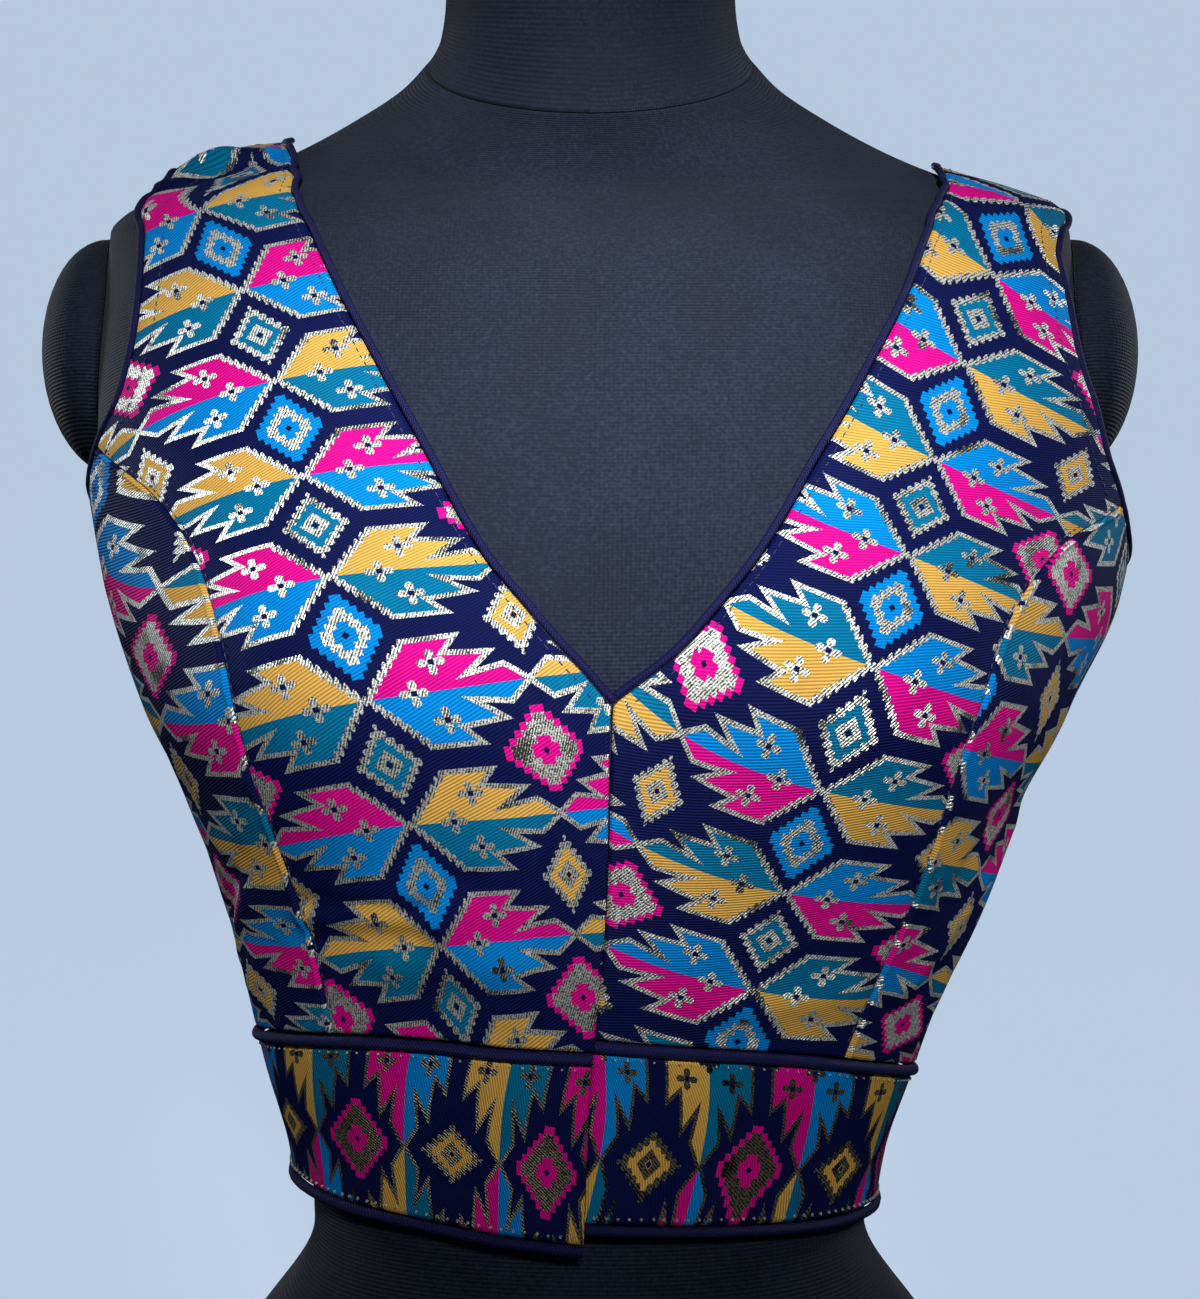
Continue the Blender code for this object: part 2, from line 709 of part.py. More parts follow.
# ---------------------------------------------------------------- the dress form
def build_torso():
    """Bust, waist and hips: stacked sections from the flat base to the neck seam."""
    low_rows = round(SHOULDER_START / TORSO_STEP)
    top = FIGURE[-1].height
    high_rows = round((top - SHOULDER_START) / SHOULDER_STEP)
    heights = np.concatenate([np.linspace(0, SHOULDER_START, low_rows + 1)[:-1],
                              np.linspace(SHOULDER_START, top, high_rows + 1)])
    angles = np.arange(FORM_SIDES) * 360 / FORM_SIDES
    points = figure_point(angles[None, :], heights[:, None]).reshape(-1, 3)
    hub = [0, 0, top - HUB_DEPTH]
    faces = ring_faces(len(heights), FORM_SIDES) + flat_ends(len(heights), FORM_SIDES)[:1]
    faces += fan(len(points), len(points) - FORM_SIDES, FORM_SIDES, 1)
    add_object("form_torso", np.concatenate([points, [hub]]), faces, JERSEY)


def build_neck():
    """Neck, up to its plain flat top."""
    turns = np.radians(np.arange(FORM_SIDES) * 360 / FORM_SIDES)
    rings = []
    for row in NECK:
        depth = np.where(np.cos(turns) > 0, row.front, row.back)
        x, y = row.half_width * np.sin(turns), -depth * np.cos(turns)
        z = FIGURE[-1].height + row.rise + row.tilt * levelled(y)
        rings.append(np.stack([x, y, z], axis=-1))
    points = np.concatenate(rings)
    hub = [0, 0, FIGURE[-1].height + HUB_DEPTH]
    faces = ring_faces(len(NECK), FORM_SIDES) + flat_ends(len(NECK), FORM_SIDES)[1:]
    faces += fan(len(points), 0, FORM_SIDES, -1)
    add_object("form_neck", np.concatenate([points, [hub]]), faces, JERSEY)


def build_cap(side):
    """Domed arm cap on the torso's side, with a back face that follows the torso."""
    turns = np.arange(CAP_SIDES) * 2 * math.pi / CAP_SIDES
    spreads = np.sin(np.linspace(0, math.pi / 2, CAP_RINGS + 1)[1:])
    dome = REST_GAP + CAP_RIM + CAP_BULGE * np.sqrt(1 - spreads**2)
    rings = [(spread, REST_GAP) for spread in spreads]
    rings += list(zip(spreads[::-1], dome[::-1]))
    points = []
    for spread, distance in rings:
        angle = CAP_ANGLE + CAP_HALF_TURN * spread * np.cos(turns)
        height = CAP_HEIGHT + CAP_HALF_HEIGHT * spread * np.sin(turns)
        points.append(off_figure(side * angle, height, np.full(CAP_SIDES, distance)))
    for distance in (REST_GAP, REST_GAP + CAP_RIM + CAP_BULGE):
        points.append(off_figure(side * CAP_ANGLE, CAP_HEIGHT, distance)[None])
    points = np.concatenate(points)
    faces = ring_faces(len(rings), CAP_SIDES)
    faces += fan(len(points) - 2, 0, CAP_SIDES, -1)
    faces += fan(len(points) - 1, (len(rings) - 1) * CAP_SIDES, CAP_SIDES, 1)
    if side == RIGHT:
        faces = [face[::-1] for face in faces]
    add_object("form_cap_" + side_name(side), points, faces, JERSEY)


def main():
    for made in list(bpy.data.objects):
        bpy.data.objects.remove(made, do_unlink=True)
    build_torso()
    build_neck()
    for side in (RIGHT, LEFT):
        build_cap(side)
        build_front_centre(side)
        build_front_side(side)
    build_back()
    build_placket()
    build_waistband()
    build_neck_piping()
    build_armhole_piping()


main()
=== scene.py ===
"""Cloth, cords, stitching and finishes of a choli blouse on its dress form.

The blouse is laid out as the part is: a place is an angle round the body (0 at the
centre front, 90 at the wearer's left side, 180 at the centre back) and a height, in
degrees and millimetres. Meshes are in metres, +Z up, with the front facing -Y.
"""
import math
from collections import namedtuple

import bmesh
import bpy
import numpy as np
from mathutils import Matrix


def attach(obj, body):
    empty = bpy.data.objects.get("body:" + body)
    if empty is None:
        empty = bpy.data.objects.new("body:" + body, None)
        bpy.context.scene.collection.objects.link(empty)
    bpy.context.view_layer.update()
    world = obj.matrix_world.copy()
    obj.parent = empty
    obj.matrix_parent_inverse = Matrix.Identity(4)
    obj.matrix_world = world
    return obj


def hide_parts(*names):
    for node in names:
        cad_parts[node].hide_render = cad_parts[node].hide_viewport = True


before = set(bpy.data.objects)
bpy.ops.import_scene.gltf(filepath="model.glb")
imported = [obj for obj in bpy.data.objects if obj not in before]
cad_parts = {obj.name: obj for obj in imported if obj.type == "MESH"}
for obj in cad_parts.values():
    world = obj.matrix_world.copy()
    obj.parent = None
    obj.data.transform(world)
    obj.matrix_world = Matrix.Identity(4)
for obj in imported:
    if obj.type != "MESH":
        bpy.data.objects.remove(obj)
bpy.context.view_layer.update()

bl_info = {
    "name": "Choli blouse on a dress form",
    "version": (1, 0, 0),
    "blender": (4, 5, 0),
    "location": "View3D > Sidebar > Choli",
    "description": "Dresses the packed choli blouse in brocade, piping and stitching",
    "category": "Object",
}

MM, METRE = 0.001, 1000.0
RIGHT, LEFT = -1, 1

# In mm: the gap between pieces at a seam, the cloth with its lining, the gap under an arm
# cap, and the least room under the cloth.
SEAM_GAP = 0.3
WALL = 1.6
REST_GAP = 0.4
LEAST_ROOM = 1.1


def table(kind, *rows):
    """A table's rows, each with its columns named."""
    return [kind(*row) for row in rows]


# ---------------------------------------------------------------- the part's own tables
# Level sections of the bare figure: its half width, its depths before and behind, how square
# it is, and how far it rises for each mm of depth.
FigureRow = namedtuple("FigureRow", "height half_width front back square tilt")
FIGURE = table(
    FigureRow,
    (0, 141, 98, 108, 0.20, 0.0),
    (40, 134, 94, 104, 0.20, 0.0),
    (85, 114, 84, 91, 0.20, 0.0),
    (125, 90, 77, 77, 0.22, 0.0),
    (150, 92, 76, 76, 0.25, 0.0),
    (180, 100, 80, 79, 0.28, 0.0),
    (225, 116, 90, 87, 0.30, 0.0),
    (262, 129, 98, 94, 0.32, 0.0),
    (290, 144, 102, 99, 0.34, 0.0),
    (335, 160, 96, 103, 0.42, 0.0),
    (375, 167, 88, 99, 0.50, 0.0),
    (415, 169, 76, 90, 0.52, 0.02),
    (440, 169, 67, 80, 0.48, 0.10),
    (458, 169, 60, 70, 0.38, 0.22),
    (466, 164, 57.5, 66, 0.34, 0.30),
    (474, 148, 55.5, 62, 0.30, 0.38),
    (482, 125, 54, 59, 0.26, 0.47),
    (491, 105, 53.2, 57, 0.22, 0.56),
    (503, 84, 53, 56, 0.15, 0.66),
    (514, 68, 53.2, 56, 0.05, 0.77),
    (524, 59, 54, 56, 0.0, 0.84),
)
BACK_SQUARE_SHARE = 0.6
BACK_LEVELLING = 40.0

# The bust: two soft mounds, blended at the centre front.
BUST_APART = 84.0
BUST_BLEND = 6.0
BUST_HEIGHT = 283.0
BUST_RISE = 26.0
BUST_SPREAD = 40.0
BUST_ABOVE = 48.0
BUST_BELOW = 36.0

# Room between the figure and the cloth at five angles, and what the slip adds to it.
EaseRow = namedtuple("EaseRow", "height centre_front bust side back_side centre_back")
EASE = table(
    EaseRow,
    (100, 9, 6, 2, 4, 8),
    (125, 9, 6, 2, 4, 8),
    (180, 8, 5, 6.5, 6, 8),
    (225, 11, 4, 6, 6, 8),
    (270, 10, 1.5, 6, 6, 6),
    (295, 8, 1.2, 6.5, 6, 5),
    (330, 3, 1.5, 11, 5, 4),
    (365, 1.5, 1.2, 11, 4, 3),
    (400, 1, 0.8, 3, 3, 2),
    (440, 1.1, 1.1, 1.3, 1.3, 1.3),
    (470, 1.1, 1.1, 1.3, 1.7, 1.1),
)
EASE_ANGLES = [0, 38, 90, 138, 180]
SWING_SHARE = 0.8
SWING_TOP = 440.0
SWING_FADE = 60.0

# How the blouse hangs askew: mm that it has slipped round the form, the share of the half
# width that it has rolled by, and how far the over front sags.
HangRow = namedtuple("HangRow", "height slip roll lap_sag")
HANG = table(
    HangRow,
    (125, -1.5, 0.060, 6.5),
    (180, 0.5, 0.060, 3.5),
    (240, 6, 0.060, 1.5),
    (290, 8.5, 0.060, 0),
    (365, 10, 0.055, 0),
    (440, 12.5, 0.040, 0),
    (480, 13, 0.033, 0),
)

# Places that the edges of the wearer's left half go through.
EdgeRow = namedtuple("EdgeRow", "angle height")
NECK_FRONT = table(
    EdgeRow,
    (0.08, 285), (6.6, 296.5), (12.4, 315.5), (20.9, 359.4), (25.8, 385.4), (32, 420),
    (35.8, 446), (38.7, 462.5), (45, 472.8), (56.5, 480), (70, 485), (89.85, 486.4),
)
NECK_BACK = table(
    EdgeRow,
    (180, 352), (168, 357), (158, 376), (151, 408), (145, 440), (134, 466), (119, 475.5),
    (106, 481), (90.15, 486.4),
)
PRINCESS = table(
    EdgeRow,
    (43, 190), (44.3, 228), (45.2, 256), (43.3, 290), (45, 316), (51.2, 338), (66.2, 360.5),
)
ARMHOLE_FRONT = table(
    EdgeRow,
    (66.2, 360.5), (60, 372), (57.5, 387), (57.1, 405), (58.5, 427), (61.2, 449), (65.8, 461.5),
    (75, 469.2), (89.85, 473),
)
UNDERARM = table(
    EdgeRow,
    (66.2, 360.5), (72, 353.8), (78, 350.8), (86, 349.3),
)
ARMHOLE_BACK = table(
    EdgeRow,
    (86, 349.3), (98, 353), (110, 369), (116, 395), (117, 425), (112, 452), (103, 466),
    (90.15, 473),
)
SIDE_SEAM = 86.0
CENTRE_EDGE = 0.08
SHOULDER_CROWDING = 1.5

# Heights of the waist seam and the hem, and the waistband's three lengths.
BandRow = namedtuple("BandRow", "angle seam hem")
WAISTBAND = table(
    BandRow,
    (0, 194.3, 139.7),
    (32, 191.5, 140),
    (55, 187, 139.5),
    (86, 181, 136),
    (135, 179, 135),
    (180, 179, 135),
)

BandPart = namedtuple("BandPart", "part start end side panel")
BAND_PARTS = table(
    BandPart,
    ("front_right", -SIDE_SEAM + CENTRE_EDGE, -CENTRE_EDGE, RIGHT, "band_right"),
    ("front_left", CENTRE_EDGE, SIDE_SEAM - CENTRE_EDGE, LEFT, "band_left"),
    ("back", SIDE_SEAM + CENTRE_EDGE, 360 - SIDE_SEAM - CENTRE_EDGE, 0, "band_back"),
)

# The lap over the placket strip, and the radius of each cord.
PLACKET_WIDTH = 20.0
LAP_LIFT = WALL + 0.5
LAP_RAMP = 24.0
NECK_CORD = 1.2
ARMHOLE_CORD = 1.2
WAIST_CORD = 1.7
HEM_CORD = 1.5

# Large folds, as ridges from one place to another.
FoldRow = namedtuple("FoldRow", "angle_a height_a angle_b height_b rise width")
FOLDS = table(
    FoldRow,
    (-43, 224, -22, 229, 2.6, 9.0), (-66, 204, -56, 228, 3.0, 9.0), (62, 198, 76, 262, 2.0, 9.0),
    (-112, 215, -92, 300, 4.0, 14.0), (104, 214, 130, 228, 2.2, 8.0),
    (-140, 208, -120, 222, 2.2, 8.0),
)

# Numbers of rows along the parts of the panels' edges.
CENTRE_FRONT_ROWS = 9
NECK_ROWS = 17
PRINCESS_ROWS = 14
ARMHOLE_ROWS = 12
BACK_ARMHOLE_ROWS = 15
BACK_LOW_ROWS = 12

# The form's neck, from its seam up, and the two arm caps.
NeckRow = namedtuple("NeckRow", "rise half_width front back tilt")
NECK = table(
    NeckRow,
    (0.4, 58.6, 53.6, 55.6, 0.84),
    (4, 56.4, 51.8, 53.4, 0.82),
    (10, 54, 50, 51, 0.76),
    (22, 52.4, 48.6, 49.4, 0.60),
    (44, 51.8, 48, 49, 0.28),
    (70, 51.6, 47.8, 48.8, 0.0),
    (74.5, 49.8, 46, 47, 0.0),
    (76, 46, 42.5, 43.5, 0.0),
)
HUB_DEPTH = 3.0
CAP_ANGLE = 90.0
CAP_HEIGHT = 416.0
CAP_HALF_HEIGHT = 42.0
CAP_HALF_TURN = 18.0
CAP_BULGE = 19.5
CAP_RIM = 1.6

# ---------------------------------------------------------------- tables of the looks
# Smaller creases, put in one by one: ridges, or troughs where the rise is below zero.
CREASES = table(
    FoldRow,
    (-46, 219, -26, 223, -2.2, 4.5), (-30, 213, -12, 218, 1.5, 5.5),
    (-43, 228, -24, 231, -1.9, 2.6), (-24, 231, -18, 241, -1.2, 2.6),
    (-67, 222, -58, 233, -1.6, 2.8), (-9.2, 203, -9.6, 286, -0.7, 1.9),
    (-52, 246, -46, 262, 1.0, 4.5), (-70, 200, -60, 216, -1.6, 4.0),
    (-78, 246, -66, 270, 0.8, 6.0), (52, 214, 66, 246, 1.4, 4.5), (50, 232, 60, 262, -1.2, 4.0),
    (70, 214, 80, 250, -1.5, 4.5), (20, 206, 40, 212, 1.1, 5.5), (-66, 464, -58, 452, 0.8, 4.0),
    (-76, 474, -70, 466, 2.4, 5.0), (-100, 478, -76, 476, 6.5, 8.0),
    (62, 458, 54, 440, 0.6, 5.0), (110, 222, 150, 236, -1.2, 7.0),
    (100, 262, 128, 250, 1.2, 9.0), (-104, 256, -130, 246, 1.0, 9.0),
    (-150, 214, -176, 222, 1.0, 7.0), (150, 208, 176, 216, 0.9, 7.0),
    (124, 346, 150, 330, 0.9, 9.0), (-124, 344, -148, 332, 1.0, 9.0),
)

# Where the cloth is tugged round the form: by turn degrees at a place, fading over the
# two widths, in degrees and millimetres.
Tug = namedtuple("Tug", "angle height turn fade_angle fade_height")
TUGS = table(
    Tug,
    (43, 471, -1.9, 9.0, 8.0), (56, 481, -3.2, 8.0, 6.0), (-46, 473, -1.2, 9.0, 8.0),
    (-55, 479, -1.8, 8.0, 6.0),
)

# Where a panel's cut lies on the cloth's repeat. across and up are millimetres of cloth
# for each millimetre round and up the panel from its own origin, with the bends that
# the shaping gives them over 100 mm.
GrainRow = namedtuple("GrainRow", "start round up round_round round_up up_up up_up_up round_up_up")
Grain = namedtuple("Grain", "angle height across up")
BEND = 100.0
GRAINS = {
    "center_right": Grain(-25, 300,
                          GrainRow(7.747, 0.972, 0.153, 0.048, -0.127, 0.032, 0.047, 0.083),
                          GrainRow(19.386, -0.241, 1.093, 0.083, 0.011, -0.003, -0.051, 0.009)),
    "center_left": Grain(25, 300,
                         GrainRow(5.4, -0.993, 0.178, 0.011, 0.057, 0.050, -0.021, 0.114),
                         GrainRow(34.8, -0.291, -1.121, 0.293, -0.254, 0.098, 0.072, -0.110)),
    "side_right": Grain(-62, 260,
                        GrainRow(38.4, -0.749, 0.114, 0.012, 0.330, 0.325, 0, 0),
                        GrainRow(18.1, -0.101, -1.006, 0.264, -0.181, 0.193, 0, 0)),
    "side_left": Grain(62, 260,
                       GrainRow(43.564, 0.933, 0.011, 0.078, -0.052, 0.253, -0.042, 0.128),
                       GrainRow(-24.272, 0.010, 0.962, -0.111, -0.374, -0.040, 0.039, 0.115)),
    "band_right": Grain(-30, 165,
                        GrainRow(-40.6, -0.019, 0.991, 0.118, -0.233, 0.038, 0, 0),
                        GrainRow(-39.2, -1.309, 0.118, -0.198, 0.233, 0.451, 0, 0)),
    "band_left": Grain(30, 165,
                       GrainRow(-37.2, 0.068, 0.888, 0.008, 0.215, 0.647, 0, 0),
                       GrainRow(-21.3, -1.218, 0.078, 0.193, 0.268, -0.693, 0, 0)),
    "back": Grain(180, 290,
                  GrainRow(0.0, 1.0, 0.0, 0, 0, 0, 0, 0),
                  GrainRow(9.0, 0.0, 1.0, 0, 0, 0, 0, 0)),
    "band_back": Grain(180, 165,
                       GrainRow(-38.0, 0.0, 0.95, 0, 0, 0, 0, 0),
                       GrainRow(0.0, -1.22, 0.0, 0, 0, 0, 0, 0)),
}

# More of the cloth's length goes over the shoulder, between two angles above a height.
SHOULDER_FROM = 52.0
SHOULDER_HEIGHT = 466.0
SHOULDER_CLOTH = 1.1
SHOULDER_TO = 173.0
SHOULDER_FADE = 35.0

# Half of a hexagon of the repeat, from its barbed end to its beaded end: shares of the
# column spacing along it, and of the row spacing from its middle line.
CornerRow = namedtuple("CornerRow", "name along aside")
HEXAGON = table(
    CornerRow,
    ("tip", 0.00, 0.03),
    ("first_step", 0.14, 0.155),
    ("first_notch", 0.32, 0.125),
    ("first_barb", 0.165, 0.255),
    ("second_notch", 0.46, 0.29),
    ("second_barb", 0.355, 0.42),
    ("shoulder", 0.735, 0.42),
    ("beaded_end", 1.00, 0.04),
)

# The flat cut of what shows of each sheet, in metres: a box round it, and its own area.
CutRow = namedtuple("CutRow", "width length area")

# ---------------------------------------------------------------- how fine the meshes are
# A wall's rows and columns lie closer together by its edges: steps of mm, and of rows.
EDGE_STEPS = np.array([0, 0.25, 0.55, 0.9, 1.3, 1.8, 2.4, 3.2, 4.2, 5.4])
EDGE_BAND = 6.8
NEAR_ROWS = np.array([0.02, 0.045, 0.075, 0.11])
CENTRE_PER_ROW, SIDE_PER_ROW, BACK_PER_ROW = 7, 8, 5

# Millimetres of cloth that a panel's columns are spaced over, and in a degree of a band.
CENTRE_WIDTH, SIDE_WIDTH, BACK_WIDTH, BAND_DEPTH = 100, 58, 190, 48
BACK_STEP = 2.2
DEGREE_LENGTH = 1.9
PLACKET_ROWS, PLACKET_COLUMNS, PLACKET_BELOW_NECK = 90, 14, 3

EDGE_POINTS = 400
NECK_POINTS, BACK_NECK_POINTS, BAND_POINTS = 190, 160, 1.6
ARMHOLE_POINTS, UNDERARM_POINTS = 110, 22
NORMAL_STEP, SLOPE_STEP = 0.4, 0.2
GRAIN_STEPS = 25
GRAIN_HEIGHTS = np.linspace(100, 530, 300)

# ---------------------------------------------------------------- edges, cords and stitches
# Waves of an uneven line: the length and share of each, and how a seed shifts them.
WOBBLE_WAVES = ((6.3, 0.42), (9.7, 0.34), (15.1, 0.30))
WOBBLE_SHIFT = 1.7
# Step from the seed of one edge of a wall to the next, and those of the back's two halves.
EDGE_SEED = 1.3
BACK_SEEDS = ((5, 6, 7, 8), (7, 6, 8, 9))
WELT_MIDDLE, WELT_HALF, WELT_UNEVEN = 0.55, 0.38, 0.18
GATHER_FROM, GATHER_TO, GATHER_SHARE = 1.5, 5.0, 1.6
# Added to the distance from an edge where it is joined to another wall, and how close the
# points of the joined edges lie.
NO_EDGE, JOIN_WITHIN = 40.0, 0.01

CORD_SIDES, CORD_SIZE, CORD_UNEVEN = 14, 0.985, 0.03

# A stitch bows up from its ends and is thinner there; no two lie quite alike.
STITCH_RINGS = STITCH_SIDES = 6
STITCH_START = 0.5
STITCH_END, STITCH_SWELL = 0.55, 0.45
BOW_RISE, BOW_POWER, BOW_DIP = 1.5, 0.6, 0.9
UNEVEN_START, UNEVEN_ASIDE = 0.08, 0.12
STITCH_POINTS = 120
# The dark rows: their distance from the line that they follow, and where along it they
# start and end, as shares of it; the neck's are points, of so many.
ARMHOLE_STITCHES, PRINCESS_STITCHES, NECK_STITCHES = 7.0, 1.6, -2.6
ARMHOLE_SEWN, PRINCESS_SEWN, BAND_SEWN = (0.02, 0.99), (0.03, 0.98), (0.01, 0.99)
NECK_SEWN, NECK_SEWN_POINTS = slice(4, -2), 200
# The pale rows: the length, gap and thickness of a stitch, and the row's distance in.
HEM_STITCH, WAIST_STITCH = (1.1, 2.2, 1.0), (0.9, 2.7, 0.7)
HEM_ROW, WAIST_ROW = 1.6, 1.2

# Each panel's two finishes: of its outside and of its lining. The turned brocade's metal
# thread is painted darker, as shade.
BROCADE = ("brocade", "lining")
SHADED_TURNED_BROCADE = ("brocade_turned", "lining")

# ---------------------------------------------------------------- form and stage
# Grooves of the form's seams at the centre front and the waist, in mm.
CENTRE_DEPTH, CENTRE_GROOVE, CENTRE_DEGREE = 0.35, 1.1, 1.5
WAIST_HEIGHT, WAIST_DEPTH, WAIST_GROOVE = 125, 0.5, 1.4
TORSO_SIDES, TORSO_ROWS, SHOULDER_ROWS, SHOULDER_ROWS_FROM = 180, 130, 60, 430
# The jersey's grain is laid round the torso as round a drum of this radius.
JERSEY_RADIUS = 100.0
NECK_SIDES, CAP_SIDES, CAP_RINGS, CAP_EYE = 128, 64, 16, 0.02
NECK_RISES = np.concatenate([np.linspace(0.4, 4, 5)[:-1], np.linspace(4, 70, 40)[:-1],
                             np.linspace(70, 76, 10)])

# The sweep, in metres: a round floor, a bend and an upright wall; it starts in mm below 0.
SWEEP_FLOOR, SWEEP_BEND, SWEEP_SIDES = 1.6, 0.9, 96
SWEEP_INNER, SWEEP_UPRIGHT, BEND_FROM, BEND_ROWS = (0.0, 0.4, 0.8, 1.2), (1.4, 2.2, 3.2), 0.1, 14
FLOOR_GAP = 0.5
SKY_LOW, SKY_HIGH = (0.05, 0.06, 0.08), (0.95, 1.0, 1.1)
SKY_RISE, SKY_LEVEL = 0.8, 0.3

LightRow = namedtuple("LightRow", "name power share place aim size spread tint")
LIGHTS = table(
    LightRow,
    ("key", "key", 1, (0.10, -1.15, 0.75), (0, 0, 0.342), 0.25, 20, (1.0, 1.0, 1.0)),
    ("fill_left", "fill", 1, (-1.25, 0.45, 0.8), (0, 0, 0.3), 0.4, 30, (0.9, 0.95, 1.0)),
    ("fill_right", "fill", 1, (1.25, 0.45, 0.8), (0, 0, 0.3), 0.4, 30, (0.9, 0.95, 1.0)),
    ("back", "fill", 3, (-0.1, 1.2, 0.75), (0, 0, 0.3), 0.4, 30, (1.0, 1.0, 1.0)),
)
SENSOR = 36.0
CAMERA_PLACE = (0.0034, -0.500, 0.2595)
CAMERA_TILT = 95.9
CAMERA_REACH = (0.01, 20.0)


# ---------------------------------------------------------------- smooth tables
def slopes(xs, ys):
    """Slopes that keep a smooth curve through the points from overshooting."""
    steps = np.diff(ys) / np.diff(xs)
    inner = steps[:-1] * steps[1:]
    safe = np.where(inner > 0, steps[:-1] + steps[1:], 1.0)
    middle = np.where(inner > 0, 2 * inner / safe, 0.0)
    return np.concatenate([steps[:1], middle, steps[-1:]])


def hermite(x, xs, ys, m):
    """Cubic curve through points, with a slope m at each."""
    k = np.clip(np.searchsorted(xs, x, side="right") - 1, 0, len(xs) - 2)
    span = xs[k + 1] - xs[k]
    t = (x - xs[k]) / span
    low = (2 * t**3 - 3 * t**2 + 1) * ys[k] + (t**3 - 2 * t**2 + t) * span * m[k]
    high = (3 * t**2 - 2 * t**3) * ys[k + 1] + (t**3 - t**2) * span * m[k + 1]
    return low + high


def smooth(x, xs, ys):
    """Smooth curve through a table's points, level beyond its ends."""
    return hermite(np.clip(np.asarray(x, float), xs[0], xs[-1]), xs, ys, slopes(xs, ys))


def smooth_table(rows):
    """Function that reads a table's named column at a value of its first column."""
    columns = {name: np.array([getattr(row, name) for row in rows], float)
               for name in rows[0]._fields}
    first = columns[rows[0]._fields[0]]
    return lambda value, name: smooth(value, first, columns[name])


figure_size = smooth_table(FIGURE)
ease_size = smooth_table(EASE)
hang_size = smooth_table(HANG)
band_size = smooth_table(WAISTBAND)
neck_size = smooth_table(NECK)


def eased(t):
    """Soft step from 0 to 1."""
    t = np.clip(t, 0, 1)
    return t * t * (3 - 2 * t)


def unit(vectors):
    """Vectors of length 1 in the same directions."""
    return vectors / np.linalg.norm(vectors, axis=-1, keepdims=True)


def reach_along(points):
    """Distance along a line of points, from the first one to each."""
    return np.concatenate([[0], np.cumsum(np.linalg.norm(np.diff(points, axis=0), axis=1))])


# ---------------------------------------------------------------- the figure
def levelled(y):
    """Depth that a tilted section rises by: less and less of it towards the back."""
    return np.where(y < 0, y, BACK_LEVELLING * (1 - np.exp(-np.maximum(y, 0) / BACK_LEVELLING)))


def figure_point(angle, height):
    """Point on the bare figure, in millimetres."""
    turn = np.radians(np.asarray(angle, float))
    height = np.asarray(height, float)
    across, ahead = np.sin(turn), np.cos(turn)
    x = figure_size(height, "half_width") * across
    square = figure_size(height, "square") * across**2
    front = figure_size(height, "front") * (1 + square)
    back = figure_size(height, "back") * (1 + square * BACK_SQUARE_SHARE)
    y = -ahead * np.where(ahead > 0, front, back)
    spread = np.where(height > BUST_HEIGHT, BUST_ABOVE, BUST_BELOW)
    sideways = np.exp(-(((np.hypot(x, BUST_BLEND) - BUST_APART) / BUST_SPREAD) ** 2) / 2)
    upright = np.exp(-(((height - BUST_HEIGHT) / spread) ** 2) / 2)
    y = y - BUST_RISE * sideways * upright * np.clip(1 - across**4, 0, 1) * (ahead > 0)
    z = height + figure_size(height, "tilt") * levelled(y)
    return np.stack([x, y, z], axis=-1)


def on_figure(places):
    """Points on the bare figure at an array of places."""
    return figure_point(places[..., 0], places[..., 1])


def figure_steps(angle, height, step):
    """How far the figure's point moves over two steps of angle, and over two of height."""
    return (figure_point(angle + step, height) - figure_point(angle - step, height),
            figure_point(angle, height + step) - figure_point(angle, height - step))


def figure_normal(angle, height):
    """Outward direction on the figure."""
    return unit(np.cross(*figure_steps(angle, height, NORMAL_STEP)))


def off_figure(angle, height, distance):
    """Point at a distance outside the figure."""
    distance = np.asarray(distance, float)[..., None]
    return figure_point(angle, height) + figure_normal(angle, height) * distance


def degree_length(height):
    """Length of a degree round the front of the figure, counted at its widest."""
    return figure_size(height, "half_width") * math.pi / 180


# ---------------------------------------------------------------- how the cloth hangs
def signed(angle):
    """Angle counted both ways from the centre front."""
    return (np.asarray(angle, float) + 180) % 360 - 180


def ease(angle, height):
    """Room between the figure and the cloth's inner face."""
    around = np.abs(signed(angle))
    rooms = [ease_size(height, name) for name in EaseRow._fields[1:]]
    room = rooms[-1]
    for k, (low, high) in enumerate(zip(EASE_ANGLES[:-1], EASE_ANGLES[1:])):
        share = eased((around - low) / (high - low))
        room = np.where((around >= low) & (around <= high),
                        rooms[k] * (1 - share) + rooms[k + 1] * share, room)
    return room


def hang(angle, height, lap=0.0):
    """From the blouse's own angle and height to the figure's."""
    angle = np.asarray(angle, float)
    height = np.asarray(height, float)
    turn = np.radians(angle)
    half = figure_size(height, "half_width")
    slip, roll = hang_size(height, "slip"), hang_size(height, "roll")
    sag = hang_size(height, "lap_sag") * lap
    sag = sag * np.clip(1 - np.abs(angle) / SIDE_SEAM, 0, 1)
    placed_angle = angle + np.degrees(slip / half) * np.cos(turn)
    placed_height = height - roll * half * np.sin(turn) - sag
    return placed_angle, placed_height


def fold_rise(angle, height, folds):
    """Height of a table's folds at a place of the blouse."""
    angle = signed(angle)
    total = np.zeros(np.broadcast(angle, height).shape)
    degree = degree_length(height)
    for fold in folds:
        ax, ay = (angle - fold.angle_a) * degree, height - fold.height_a
        bx, by = (fold.angle_b - fold.angle_a) * degree, fold.height_b - fold.height_a
        along = np.clip((ax * bx + ay * by) / (bx * bx + by * by), 0, 1)
        away = (ax - along * bx) ** 2 + (ay - along * by) ** 2
        total = total + fold.rise * np.exp(-away / fold.width**2)
    return total


